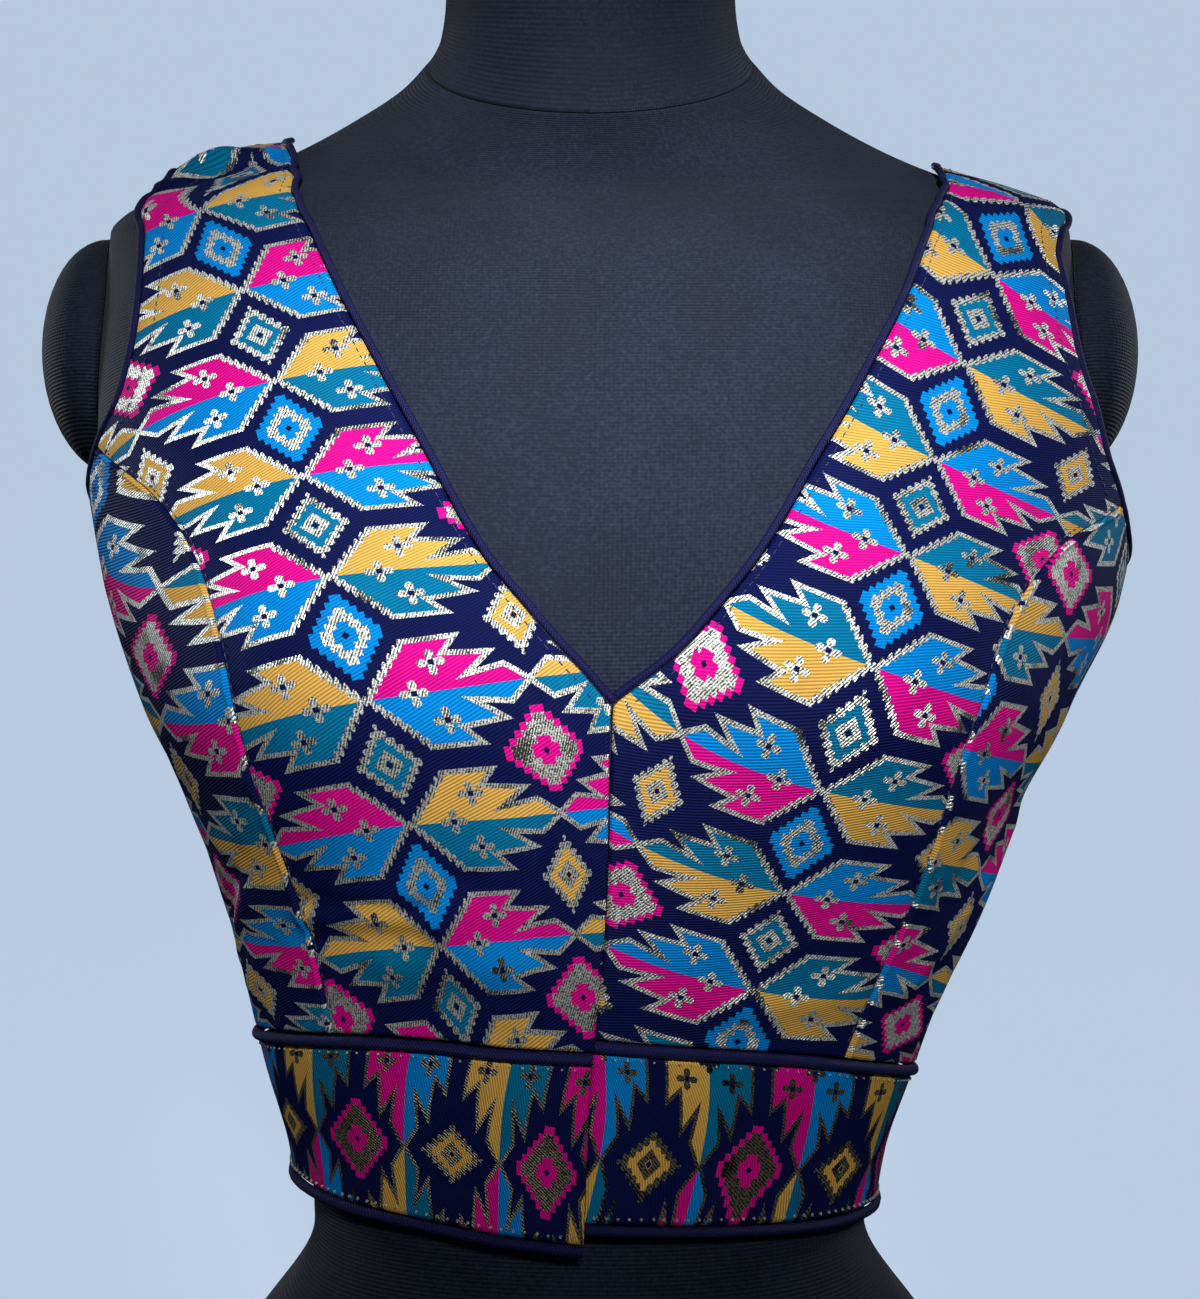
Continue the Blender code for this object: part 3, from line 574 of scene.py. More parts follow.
def cloth_point(angle, height, outside=0.0, lap=0.0):
    """Point of the blouse: outside is the distance from its inner face."""
    placed_angle, placed_height = hang(angle, height, lap)
    for tug in TUGS:
        placed_angle = placed_angle + tug.turn * np.exp(
            -((signed(angle) - tug.angle) / tug.fade_angle) ** 2
            - ((height - tug.height) / tug.fade_height) ** 2)
    fade = np.clip((SWING_TOP - placed_height) / SWING_FADE, 0, 1)
    swing = SWING_SHARE * hang_size(placed_height, "slip") * fade \
        * np.sin(np.radians(placed_angle))
    room = ease(placed_angle, placed_height) + swing + fold_rise(angle, height, FOLDS)
    room = np.maximum(room, LEAST_ROOM * (1 + fade))
    room = np.maximum(room + fold_rise(angle, height, CREASES), LEAST_ROOM)
    return off_figure(placed_angle, placed_height, room + outside)


def no_lift(angle, height):
    """Lift of cloth that lies on nothing but the form."""
    return 0.0


def lap_lift(angle, height):
    """Lift of the over front where it crosses the placket strip."""
    away = np.abs(angle) * degree_length(height) - PLACKET_WIDTH - 2 * SEAM_GAP
    return LAP_LIFT * eased(1 - away / LAP_RAMP)


# ---------------------------------------------------------------- edges
def edge(rows, shares, crowding=1.0):
    """Rounded edge through a table's places, at shares of its length."""
    places = np.array(rows, float)
    at = reach_along(on_figure(places))
    fine = np.linspace(0, at[-1], EDGE_POINTS)
    curve = np.stack([hermite(fine, at, values, np.gradient(values, at))
                      for values in places.T], axis=1)
    lengths = reach_along(on_figure(curve))
    wanted = lengths[-1] * (1 - (1 - np.asarray(shares, float)) ** crowding)
    return np.stack([np.interp(wanted, lengths, curve[:, k]) for k in (0, 1)], axis=1)


def straight(start, end, shares):
    """Edge between two places, at shares of its length."""
    t = np.asarray(shares, float)[:, None]
    return np.array(start, float) * (1 - t) + np.array(end, float) * t


def two_part(rows, split, low, high):
    """Edge in two parts that meet at row number split; rows count up from the foot.

    Each part is a table of places, and a low part with two places is straight.
    """
    below, above = rows[rows < split], rows[rows >= split]
    foot = straight(*low, below / split) if len(low) == 2 else edge(low, below / split)
    top = edge(high, (above - split) / (rows[-1] - split), SHOULDER_CROWDING)
    return np.concatenate([foot, top])


def drawn_in(line, partner):
    """Edge moved half a seam's gap towards the panel's other edge."""
    away = np.linalg.norm(on_figure(partner) - on_figure(line), axis=1)
    return line + (partner - line) * (SEAM_GAP / 2 / away)[:, None]


def mirrored(line):
    """Line on the other side of the body, with angles that run on past 180."""
    return line * np.array([-1.0, 1.0]) + np.array([360.0, 0.0])


def for_side(places, side):
    """Places on one side; a grid's columns stay in rising order of angle."""
    if side == LEFT:
        return places
    flipped = places * np.array([-1.0, 1.0])
    return flipped[:, ::-1] if places.ndim == 3 else flipped


def patch(low, high, bottom, top, u, v):
    """Grid of places inside four edges: low and high in angle, bottom and top."""
    u = u[None, :, None]
    v = v[:, None, None]
    across = low[:, None] * (1 - u) + high[:, None] * u
    upward = bottom[None] * (1 - v) + top[None] * v
    corners = ((bottom[0] * (1 - u) + bottom[-1] * u) * (1 - v)
               + (top[0] * (1 - u) + top[-1] * u) * v)
    return across + upward - corners


def band_height(name, angle):
    """Height of the waist seam or the hem at an angle."""
    return band_size(np.abs(signed(angle)), name)


def panel_foot(angle):
    """Height of a panel's lower edge, over the waist seam's piping."""
    return band_height("seam", angle) + WAIST_CORD + SEAM_GAP


def foot_line(start, end, shares):
    """Lower edge of a panel between two angles."""
    angles = start + (end - start) * shares
    return np.stack([angles, panel_foot(angles)], axis=1)


def crowded(length, step):
    """Shares of a length in even steps, with close ones at both ends for the turned edge."""
    count = max(2, round((length - 2 * EDGE_BAND) / step) + 1)
    middle = np.linspace(EDGE_BAND, length - EDGE_BAND, count)
    return np.concatenate([EDGE_STEPS, middle, (length - EDGE_STEPS)[::-1]]) / length


# ---------------------------------------------------------------- sizes a user would change
def millimetres(name, description, default, low, high):
    """Length property; the default and the limits are in mm."""
    return bpy.props.FloatProperty(name=name, description=description, default=default * MM,
                                   min=low * MM, max=high * MM, subtype="DISTANCE",
                                   unit="LENGTH", precision=5)


def colour(name, description, red, green, blue):
    """Colour property; red, green and blue are what a screen shows, from 0 to 255."""
    linear = [((c / 255 + 0.055) / 1.055) ** 2.4 if c > 10 else c / 255 / 12.92
              for c in (red, green, blue)]
    return bpy.props.FloatVectorProperty(name=name, description=description, size=3,
                                         subtype="COLOR", default=linear, min=0, max=1)


class ClothSettings(bpy.types.PropertyGroup):
    """Sizes of the cloth's meshes, seams and stitches."""
    step: millimetres("Mesh step", "Distance between the cloth's rows and columns", 1.7, 1, 5)
    inner_face: millimetres("Inner face", "How far the lining lies off the solid's inner face",
                            0.45, 0, 1)
    edge_roll: millimetres("Edge roll", "Width over which a turned edge rounds off", 0.9, 0.3, 3)
    edge_drop: millimetres("Edge drop", "Depth of a turned edge's rounding", 0.6, 0.1, 1.2)
    welt_width: millimetres("Welt width", "Width of the raised welt along a princess seam",
                            1.8, 0.5, 4)
    welt_rise: millimetres("Welt rise", "Height of that welt", 0.55, 0, 1.5)
    pucker: millimetres("Pucker", "Height of the small gathers beside seams", 0.22, 0, 1)
    stitch_length: millimetres("Stitch length", "Length of one machine stitch", 2.1, 1, 5)
    stitch_gap: millimetres("Stitch gap", "Gap between two stitches", 0.8, 0.2, 4)
    thread: millimetres("Thread", "Thickness of the sewing thread", 0.42, 0.1, 1)


class BrocadeSettings(bpy.types.PropertyGroup):
    """The repeat and the yarns of the brocade."""
    columns: millimetres("Column spacing", "Distance between columns of diamonds", 42.5, 20, 80)
    rows: millimetres("Row spacing", "Distance between rows of hexagons", 36.5, 20, 80)
    outline: millimetres("Outline", "Width of the metal thread's outline", 1.5, 0.4, 3)
    bead: millimetres("Bead pitch", "Distance between the beads of an outline", 2.65, 1, 5)
    twill: millimetres("Twill pitch", "Distance between the twill lines", 0.88, 0.2, 2)
    hatch: millimetres("Hatch pitch", "Distance between the metal thread's ridges", 0.76, 0.2, 2)
    ground: colour("Ground", "Ground yarn", 15, 23, 74)
    pink: colour("Pink", "Pink yarn", 226, 14, 144)
    blue: colour("Blue", "Bright blue yarn", 0, 136, 220)
    teal: colour("Teal", "Teal yarn", 2, 114, 158)
    mustard: colour("Mustard", "Mustard yarn", 224, 174, 84)
    # Metal is the thread's own bright colour, shown where glints are painted; shade is painted
    # shade between its ridges. Turned metal and its shade are a darker copy of both: painted shade
    # where the cloth is turned and the flat weft faces away from the light.
    metal: colour("Metal thread", "Flat metal thread", 251, 253, 246)
    shade: colour("Metal shade", "Metal thread between its ridges", 70, 74, 66)
    turned: colour("Turned metal", "Metal thread where the cloth is turned", 124, 119, 100)
    turned_shade: colour("Turned shade", "Its shade between the ridges", 34, 34, 30)


class PlainSettings(bpy.types.PropertyGroup):
    """The plain finishes."""
    piping: colour("Piping", "Satin of the piping", 22, 24, 74)
    lining: colour("Lining", "Lining of the panels", 20, 22, 60)
    thread: colour("Thread", "Navy sewing thread", 26, 28, 84)
    pale_thread: colour("Pale thread", "Cream sewing thread", 226, 220, 196)
    jersey: colour("Jersey", "Ribbed jersey of the form", 21, 28, 43)
    rib: millimetres("Rib pitch", "Distance between the jersey's ribs", 1.15, 0.5, 4)


class StageSettings(bpy.types.PropertyGroup):
    """Floor, light and camera."""
    floor: colour("Floor", "Floor and sweep", 176, 193, 213)
    key: bpy.props.FloatProperty(name="Key light", description="Power of the soft key light",
                                 default=0.54, min=0, unit="POWER")
    fill: bpy.props.FloatProperty(name="Fill light", description="Power of the fill light",
                                  default=0.20, min=0, unit="POWER")
    sky: bpy.props.FloatProperty(name="Sky", description="Strength of the light all round",
                                 default=0.14, min=0)
    lens: bpy.props.FloatProperty(name="Lens", description="Camera's focal length",
                                  default=43.5, min=10, unit="CAMERA")


def settings(name):
    """One of the scene's groups of settings."""
    return getattr(bpy.context.scene, "choli_" + name)


def in_mm(value):
    """Length of a setting in millimetres."""
    return value / MM


# ---------------------------------------------------------------- shader maths
def fill_socket(socket, value):
    """Links a wire to a socket, or sets the socket's own value."""
    if isinstance(value, Wire):
        value.tree.links.new(value.socket, socket)
    else:
        socket.default_value = value


def add_node(tree, kind, given=None, values=None, output=0):
    """A node: its settings come first, then the values or links of its sockets."""
    node = tree.nodes.new(kind)
    for name, value in (given or {}).items():
        setattr(node, name, value)
    for key, value in (values or {}).items():
        fill_socket(node.inputs[key], value)
    return Wire(tree, node.outputs[output])


def maths(operation, swapped=False):
    """Method that adds one Math node to a wire; swapped puts the wire last."""
    def method(wire, *others):
        values = (*others, wire) if swapped else (wire, *others)
        return add_node(wire.tree, "ShaderNodeMath", {"operation": operation},
                        dict(enumerate(values)))
    return method


class Wire:
    """A node's output that works in expressions as a number does."""

    def __init__(self, tree, socket):
        self.tree, self.socket = tree, socket

    __add__ = __radd__ = maths("ADD")
    __sub__ = maths("SUBTRACT")
    __rsub__ = maths("SUBTRACT", swapped=True)
    __mul__ = __rmul__ = maths("MULTIPLY")
    __truediv__ = maths("DIVIDE")
    __gt__ = maths("GREATER_THAN")
    __lt__ = maths("LESS_THAN")
    __abs__ = maths("ABSOLUTE")
    floor = maths("FLOOR")
    sine = maths("SINE")
    pingpong = maths("PINGPONG")
    least = maths("MINIMUM")
    most = maths("MAXIMUM")

    def parity(self):
        """0 for an even number and 1 for an odd one."""
        return self.pingpong(1)


def blend(share, low, high):
    """Colour low where share is 0, and high where it is 1."""
    return add_node(share.tree, "ShaderNodeMix", {"data_type": "RGBA"},
                    {0: share, 6: low, 7: high}, 2)


def blend_vectors(share, low, high):
    """Vector low where share is 0, and high where it is 1."""
    return add_node(share.tree, "ShaderNodeMix", {"data_type": "VECTOR"},
                    {0: share, 4: low, 5: high}, 1)


def rgba(value, factor=1.0):
    """Opaque colour of a colour setting, times a factor."""
    return (*[c * factor for c in value], 1.0)


def dot(vector, factors):
    """Dot product of a vector with three numbers."""
    return add_node(vector.tree, "ShaderNodeVectorMath", {"operation": "DOT_PRODUCT"},
                    {0: vector, 1: factors}, 1)


def new_finish(name):
    """Empty material with its principled shader, and the cloth's u and v in mm."""
    made = bpy.data.materials.new(name)
    made.use_nodes = True
    tree = made.node_tree
    place = add_node(tree, "ShaderNodeUVMap", {"uv_map": "cloth"})
    split = add_node(tree, "ShaderNodeSeparateXYZ", None, {0: place}).socket.node
    u, v = [Wire(tree, split.outputs[k]) * METRE for k in (0, 1)]
    return made, tree.nodes["Principled BSDF"], u, v


def set_shader(shader, **values):
    """Values or links of the principled shader's sockets; _ stands for a space."""
    for name, value in values.items():
        fill_socket(shader.inputs[name.replace("_", " ")], value)


def bump(height, distance):
    """Normal that a height in mesh units gives."""
    return add_node(height.tree, "ShaderNodeBump", None, {"Height": height, "Distance": distance})


def noise(tree, scale, detail):
    """Soft noise laid through the object's own space, from about 0 to 1."""
    place = add_node(tree, "ShaderNodeTexCoord", None, None, 3)
    return add_node(tree, "ShaderNodeTexNoise", None,
                    {"Scale": scale, "Detail": detail, "Vector": place})


def ridges(u, v, degrees, pitch):
    """Wave from -1 to 1 with its ridges at an angle to the weft."""
    turn = math.radians(degrees)
    rate = 2 * math.pi / pitch
    return (u * (-math.sin(turn) * rate) + v * (math.cos(turn) * rate)).sine()


# ---------------------------------------------------------------- finishes
# A hexagon's beaded end: how deep the beads cut in, and its metal line.
BEAD_CUT, BEAD_SWELL, BEAD_LINE = 1.3, 0.9, 1.6
TURNED_THIN = 0.75

# The three crosses of a hexagon: shares of the column and the row spacing, then mm.
CROSS_ALONG, CROSS_SHIFT, CROSS_ASIDE = 0.575, 0.145, 0.215
MIDDLE_CROSS = 3.6
PETAL_END, PETAL_POINT, PETAL_START = 3.7, 0.5, 0.7
PETAL_WIDTH, PETAL_MIDDLE, PETAL_TAPER = 1.15, 2.3, 0.2
EYE = 0.75

# The stepped diamond: the size of a step across and upward, what an odd column adds to
# it, and the steps that are metal.
DIAMOND_STEPS = 5
STEP_ACROSS, ODD_ACROSS, STEP_UPWARD, ODD_UPWARD = 1.40, 0.62, 2.07, -0.13
METAL_FROM, METAL_TO = 1.5, 3.5

# The beaded diamond: half its width and height, its rim, and its heart with a pip in it.
BEADED_ACROSS, BEADED_UPWARD = 8.7, 12.2
RIM_CUT, RIM_LINE, RIM_SWELL = 1.2, 1.7, 0.9
HEART_ACROSS, HEART_UPWARD = 0.5, 0.42
HEART, HEART_HOLE, PIP = 1.9, 0.62, 0.5

# The weave: slants of its ridges, how far twill and wear darken the silk, what paints glints
# on the metal thread, and where patches of painted shade dull it.
TWILL_DEGREES, HATCH_DEGREES = 24, 62
TWILL_SHADE, WORN_SHADE, EVEN_SHADE = 0.26, 0.25, 0.22
HATCH_GLINT, GRAIN_GLINT, NO_GLINT = 0.46, 2.6, 0.66
PAINTED_SHADE_FROM, PAINTED_SHADE = 0.43, 6
TWILL_BUMP, HATCH_BUMP, GRAIN_BUMP = 0.00007, 0.00009, 1.5
SILK_ROUGHNESS, METAL_POLISH, METAL_SHARE = 0.58, 0.12, 0.72


def half_plane(low, high):
    """Factors of the distance outside the line between two corners, in mm."""
    look = settings("brocade")
    ax, ay = low.along * in_mm(look.columns), low.aside * in_mm(look.rows)
    bx, by = high.along * in_mm(look.columns), high.aside * in_mm(look.rows)
    length = math.hypot(bx - ax, by - ay)
    nx, ny = -(by - ay) / length, (bx - ax) / length
    return (nx, ny, -(nx * ax + ny * ay))


def brocade_finish(name="brocade", turned=False):
    """Brocade: barbed hexagons in two colours, stepped and beaded diamonds on the ground.

    Where the cloth is turned a quarter, its flat metal weft faces away from the light, so its
    metal thread is painted darker, as shade.
    """
    look = settings("brocade")
    bright, dim = (look.turned, look.turned_shade) if turned else (look.metal, look.shade)
    made, shader, u, v = new_finish(name)
    tree = made.node_tree
    wide, high, pitch = in_mm(look.columns), in_mm(look.rows), in_mm(look.bead)
    across, upward = u / wide, v / high

    # the hexagon that this place is in, and the place in it, folded on its middle line
    along = (across + 1).pingpong(1) * wide
    row = (upward + 0.5).floor()
    off_middle = (upward - row) * high
    upper, aside = off_middle > 0, abs(off_middle)
    swap = (across.floor() + row).parity()
    folded = add_node(tree, "ShaderNodeCombineXYZ", None, {0: along, 1: aside, 2: 1.0})
    side = [dot(folded, half_plane(a, b)) for a, b in zip(HEXAGON[:-1], HEXAGON[1:])]
    barbed = side[0].most(side[1]).least(side[2].most(side[3])).least(side[4]).most(side[5])
    corner = {c.name: c for c in HEXAGON}
    end_length = (1 - corner["shoulder"].along) * wide
    end_rise = (corner["shoulder"].aside - corner["beaded_end"].aside) * high
    run = math.hypot(end_length, end_rise)
    beads = abs((along * (math.pi / pitch * run / end_length)).sine())
    inside = barbed.most(side[6] + (1 - beads) * BEAD_CUT) < 0
    thin = TURNED_THIN if turned else 1.0
    outline = (barbed > -(in_mm(look.outline) * thin)).most(
        side[6] > (beads * BEAD_SWELL + BEAD_LINE) * -thin)

    # the three crosses: one on the middle line, one above it and one below it
    on_line = aside < MIDDLE_CROSS
    cross_x = abs(along - wide * CROSS_ALONG - on_line * (wide * CROSS_SHIFT))
    cross_y = abs(aside - (1 - on_line) * (high * CROSS_ASIDE))
    longest, shortest = cross_x.most(cross_y), cross_x.least(cross_y)
    petal = (longest < PETAL_END - shortest * PETAL_POINT) * (longest > PETAL_START) \
        * (shortest < PETAL_WIDTH - abs(longest - PETAL_MIDDLE) * PETAL_TAPER)
    eye = longest < EYE

    # the diamond that this place is nearest to, folded on its two axes
    nearest, diamond_row = (across + 0.5).floor(), upward.floor()
    dx = abs(across - nearest) * wide
    dy = abs(upward - diamond_row - 0.5) * high
    odd_column, odd_row = nearest.parity(), diamond_row.parity()
    stepped = 1 - abs(odd_column - odd_row)
    step = DIAMOND_STEPS - (dx / (odd_column * ODD_ACROSS + STEP_ACROSS)).floor() \
        - (dy / (odd_column * ODD_UPWARD + STEP_UPWARD)).floor()
    step_metal = (step > METAL_FROM - odd_column) * (step < METAL_TO)
    slope = math.hypot(BEADED_ACROSS, BEADED_UPWARD)
    low, steep = BEADED_ACROSS / slope, BEADED_UPWARD / slope
    slant = dx * steep + dy * low - BEADED_ACROSS * BEADED_UPWARD / slope
    chain = abs(((dy * steep - dx * low) * (math.pi / pitch)).sine())
    heart = dx * HEART_ACROSS + dy * HEART_UPWARD
    bead_metal = (slant > chain * -RIM_SWELL - RIM_LINE).most(
        (heart < HEART) * (heart > HEART_HOLE))
    in_diamond = (step > -0.5) * stepped + (slant + (1 - chain) * RIM_CUT < 0) * (1 - stepped)
    diamond_metal = step_metal * stepped + bead_metal * (1 - stepped)
    pip = heart < PIP

    pink, blue, teal, mustard = [rgba(yarn) for yarn in (look.pink, look.blue, look.teal,
                                                         look.mustard)]
    hexagon = blend(upper, blend(swap, blue, teal), blend(swap, pink, mustard))
    diamond = blend(odd_column, blend(odd_row, blue, teal), blend(odd_row, mustard, pink))
    dark = (inside * eye).most(in_diamond * pip)
    shown = blend(inside.most(in_diamond) * (1 - dark), rgba(look.ground),
                  blend(in_diamond, hexagon, diamond))
    metal = (inside * outline.most(petal) * (1 - eye)).most(
        in_diamond * diamond_metal * (1 - pip))

    # the weave: fine twill in the silk, and steeper ridges in the metal thread
    twill = ridges(u, v, TWILL_DEGREES, in_mm(look.twill))
    hatch = ridges(u, v, HATCH_DEGREES, in_mm(look.hatch))
    # grain is fine noise that roughens the metal thread's bump and also paints its glints; worn
    # varies the silk's tone and also paints patches of shade on the metal thread.
    grain, worn = noise(tree, 2100.0, 0.0), noise(tree, 70.0, 1.0)
    silk = blend(twill * TWILL_SHADE + (worn - 0.5) * WORN_SHADE + EVEN_SHADE, shown,
                 rgba((0, 0, 0)))
    # Painted glints and painted shade: ridges and fine specks make the metal thread bright, it is
    # dim between them, and the worn noise paints patches of shade on it.
    glint = hatch * HATCH_GLINT + grain * GRAIN_GLINT - NO_GLINT \
        + ((worn - PAINTED_SHADE_FROM) * PAINTED_SHADE).least(0.0)
    thread = blend(glint.least(1.0).most(0.0), rgba(dim), rgba(bright))
    set_shader(shader, Base_Color=blend(metal, silk, thread),
               Roughness=SILK_ROUGHNESS - metal * METAL_POLISH,
               Metallic=metal * METAL_SHARE,
               Normal=blend_vectors(metal, bump(twill, TWILL_BUMP),
                                    bump(hatch + grain * GRAIN_BUMP, HATCH_BUMP)),
               Specular_IOR_Level=0.03)
    return made


# Plain twills: the pitch of their ridges in mm, the slant of these in degrees, roughness
# and sheen.
TWILLS = {"piping_satin": (0.75, 45, 0.55, 0.0),
          "lining": (0.6, 0, 0.6, 0.2),
          "placket_twill": (0.8, 30, 0.55, 0.2)}
# Their wear: the scale and the detail of its noise, and how far it and the ridges darken.
TWILL_WEAR, RIDGE_DARK, WEAR_DARK, TWILL_DARK, DARK_YARN = (160.0, 4.0), 0.3, 0.6, 0.3, 0.3
WEAR_ROUGH, TWILL_HEIGHT = 0.12, 0.0002

# Jersey: the noises that bend its ribs, dust it and make its lint, each with its scale and
# its detail; how far the ribs wander in mm; and how much of each shows in colour and height.
RIBS_BENT, DUST, LINT = (9.0, 0.0), (34.0, 3.0), (900.0, 0.0)
RIB_WANDER, LOOP_PITCH = 2.2, 0.7
DUST_FROM, DUST_SHOWS, RIB_SHOWS, LINT_SHOWS, JERSEY_PALE = 0.42, 0.7, 0.09, 0.9, 0.08
PALER, PALE_GREY = 2.4, 0.006
RIB_RISE, LOOP_RISE, LINT_RISE, JERSEY_HEIGHT = 0.6, 0.22, 0.5, 0.00018

# Thread: its twist in degrees and mm, its wear, and how far these darken it.
TWIST, THREAD_WEAR, TWIST_DARK, THREAD_DARK, DARK_THREAD = (35, 0.5), (700.0, 2.0), 0.3, 0.4, 0.4

# The sweep: its cloudy shade, and its own light.
CLOUD, CLOUD_LOW, CLOUD_HIGH, SWEEP_GLOW = (1.6, 3.0), 0.52, 0.56, 1.06


def twill_finish(name, yarn):
    """Plain satin or twill with fine slanting ridges."""
    pitch, degrees, roughness, sheen = TWILLS[name]
    made, shader, u, v = new_finish(name)
    twill = ridges(u, v, degrees, pitch)
    worn = noise(made.node_tree, *TWILL_WEAR)
    set_shader(shader,
               Base_Color=blend(twill * RIDGE_DARK + (worn - 0.5) * WEAR_DARK + TWILL_DARK,
                                rgba(yarn), rgba(yarn, DARK_YARN)),
               Roughness=roughness + worn * WEAR_ROUGH,
               Normal=bump(twill * 0.5 + worn * 0.5, TWILL_HEIGHT),
               Sheen_Weight=sheen, Sheen_Roughness=0.35, Specular_IOR_Level=0.15)
    return made


def jersey_finish():
    """Ribbed jersey: fine ribs round the form, with lint and a little dust."""
    look = settings("plain")
    made, shader, u, v = new_finish("jersey")
    tree = made.node_tree
    wander, dust, lint = [noise(tree, *kind) for kind in (RIBS_BENT, DUST, LINT)]
    ribs = ridges(u, v + wander * RIB_WANDER, 0, in_mm(look.rib))
    loops = ridges(u, v, 90, in_mm(look.rib) * LOOP_PITCH)
    share = (dust - DUST_FROM) * DUST_SHOWS + ribs * RIB_SHOWS + (lint - 0.5) * LINT_SHOWS \
        + JERSEY_PALE
    relief = ribs * RIB_RISE + loops * LOOP_RISE + lint * LINT_RISE
    set_shader(shader,
               Base_Color=blend(share, rgba(look.jersey),
                                rgba([c * PALER + PALE_GREY for c in look.jersey])),
               Roughness=0.62 + dust * 0.2, Normal=bump(relief, JERSEY_HEIGHT),
               Sheen_Weight=0.05, Sheen_Roughness=0.45, Specular_IOR_Level=0.15)
    return made


def thread_finish(name, yarn):
    """Twisted sewing thread."""
    made, shader, u, v = new_finish(name)
    twist = ridges(u, v, *TWIST)
    worn = noise(made.node_tree, *THREAD_WEAR)
    set_shader(shader,
               Base_Color=blend(twist * TWIST_DARK + worn * THREAD_DARK, rgba(yarn),
                                rgba(yarn, DARK_THREAD)),
               Roughness=0.42 + worn * 0.2, Normal=bump(twist, 0.0001),
               Sheen_Weight=0.2, Specular_IOR_Level=0.5)
    return made


def floor_finish():
    """Pale sweep that gives off its own even light."""
    made, shader, *_ = new_finish("studio_sweep")
    cloud = noise(made.node_tree, *CLOUD)
    shade = settings("stage").floor
    set_shader(shader,
               Base_Color=blend(cloud, rgba(shade, CLOUD_LOW), rgba(shade, CLOUD_HIGH)),
               Roughness=0.85 + cloud * 0.1, Specular_IOR_Level=0.1,
               Emission_Color=rgba(shade), Emission_Strength=SWEEP_GLOW)
    made.cycles.emission_sampling = "NONE"
    return made


FINISHES = {}


def finish_of(name):
    """The material of a finish, made once."""
    if name not in FINISHES:
        plain = settings("plain")
        makers = {
            "brocade": brocade_finish,
            "brocade_turned": lambda: brocade_finish("brocade_turned", turned=True),
            "jersey": jersey_finish,
            "piping": lambda: twill_finish("piping_satin", plain.piping),
            "lining": lambda: twill_finish("lining", plain.lining),
            "placket": lambda: twill_finish("placket_twill", plain.piping),
            "thread": lambda: thread_finish("navy_thread", plain.thread),
            "pale_thread": lambda: thread_finish("pale_thread", plain.pale_thread),
            "floor": floor_finish,
        }
        FINISHES[name] = makers[name]()
    return FINISHES[name]


# ---------------------------------------------------------------- meshes
def add_piece(name, points, faces, uv, finishes, face_finish=None, stage=False):
    """Smooth mesh piece from points in mm, with a UV layer in metres of cloth."""
    mesh = bpy.data.meshes.new(name)
    mesh.from_pydata((np.asarray(points, float) * MM).tolist(), [], faces)
    layer = mesh.uv_layers.new(name="cloth")
    corners = np.empty(len(mesh.loops), int)
    mesh.loops.foreach_get("vertex_index", corners)
    layer.data.foreach_set("uv", (np.asarray(uv, float) * MM)[corners].ravel().astype(np.float32))
    for finish in finishes:
        mesh.materials.append(finish_of(finish))
    if face_finish is not None:
        mesh.polygons.foreach_set("material_index", np.asarray(face_finish, np.int32))
    mesh.shade_smooth()
    mesh.update()
    made = add_object(name, mesh)
    if not stage:
        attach(made, "root")
    return made


def add_object(name, data):
    """Object in the scene with a mesh, a light or a camera in it."""
    made = bpy.data.objects.new(name, data)
    bpy.context.scene.collection.objects.link(made)
    return made


def finished(made, node):
    """Hides the solid that a piece stands in for."""
    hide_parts(node)
    return made


def grid_faces(rows, columns, first=0, flip=False):
    """Quads of a grid of rows by columns of points."""
    r, c = np.meshgrid(np.arange(rows - 1), np.arange(columns - 1), indexing="ij")
    a = (first + r * columns + c).ravel()
    quads = np.stack([a, a + 1, a + 1 + columns, a + columns], axis=1)
    return (quads[:, ::-1] if flip else quads).tolist()


def shell_faces(rows, columns, first=0, open_low=0, open_high=0):
    """Faces of a wall's outside with its rim, and of its lining.

    The outer grid's points start at number first, and the lining's follow them. The rim
    starts at row open_low at the low edge, and at row open_high at the high one.
    """
    count = rows * columns
    last, high = count - columns, columns - 1
    pairs = [(c, c + 1) for c in range(high)]
    pairs += [(last + c + 1, last + c) for c in range(high)]
    pairs += [((r + 1) * columns, r * columns) for r in range(open_low, rows - 1)]
    pairs += [(r * columns + high, (r + 1) * columns + high) for r in range(open_high, rows - 1)]
    rim = [[first + i for i in (b, a, count + a, count + b)] for a, b in pairs]
    return (grid_faces(rows, columns, first) + rim,
            grid_faces(rows, columns, first + count, flip=True))


def grid_reach(points, axis):
    """Distance along a grid's rows (axis 1) or columns (axis 0) from their first point."""
    steps = np.linalg.norm(np.diff(points, axis=axis), axis=-1)
    start = np.zeros_like(steps[:, :1] if axis == 1 else steps[:1])
    return np.concatenate([start, np.cumsum(steps, axis=axis)], axis=axis)


def flat_pairs(first, second):
    """Two arrays, spread over each other, as a list of pairs."""
    return np.stack(np.broadcast_arrays(first, second), axis=-1).reshape(-1, 2)


def wobble(t, seed):
    """Uneven wave along a length in mm, from about -1 to 1."""
    return sum(share * np.sin(2 * math.pi * t / length + seed * (WOBBLE_SHIFT + k) + k)
               for k, (length, share) in enumerate(WOBBLE_WAVES))


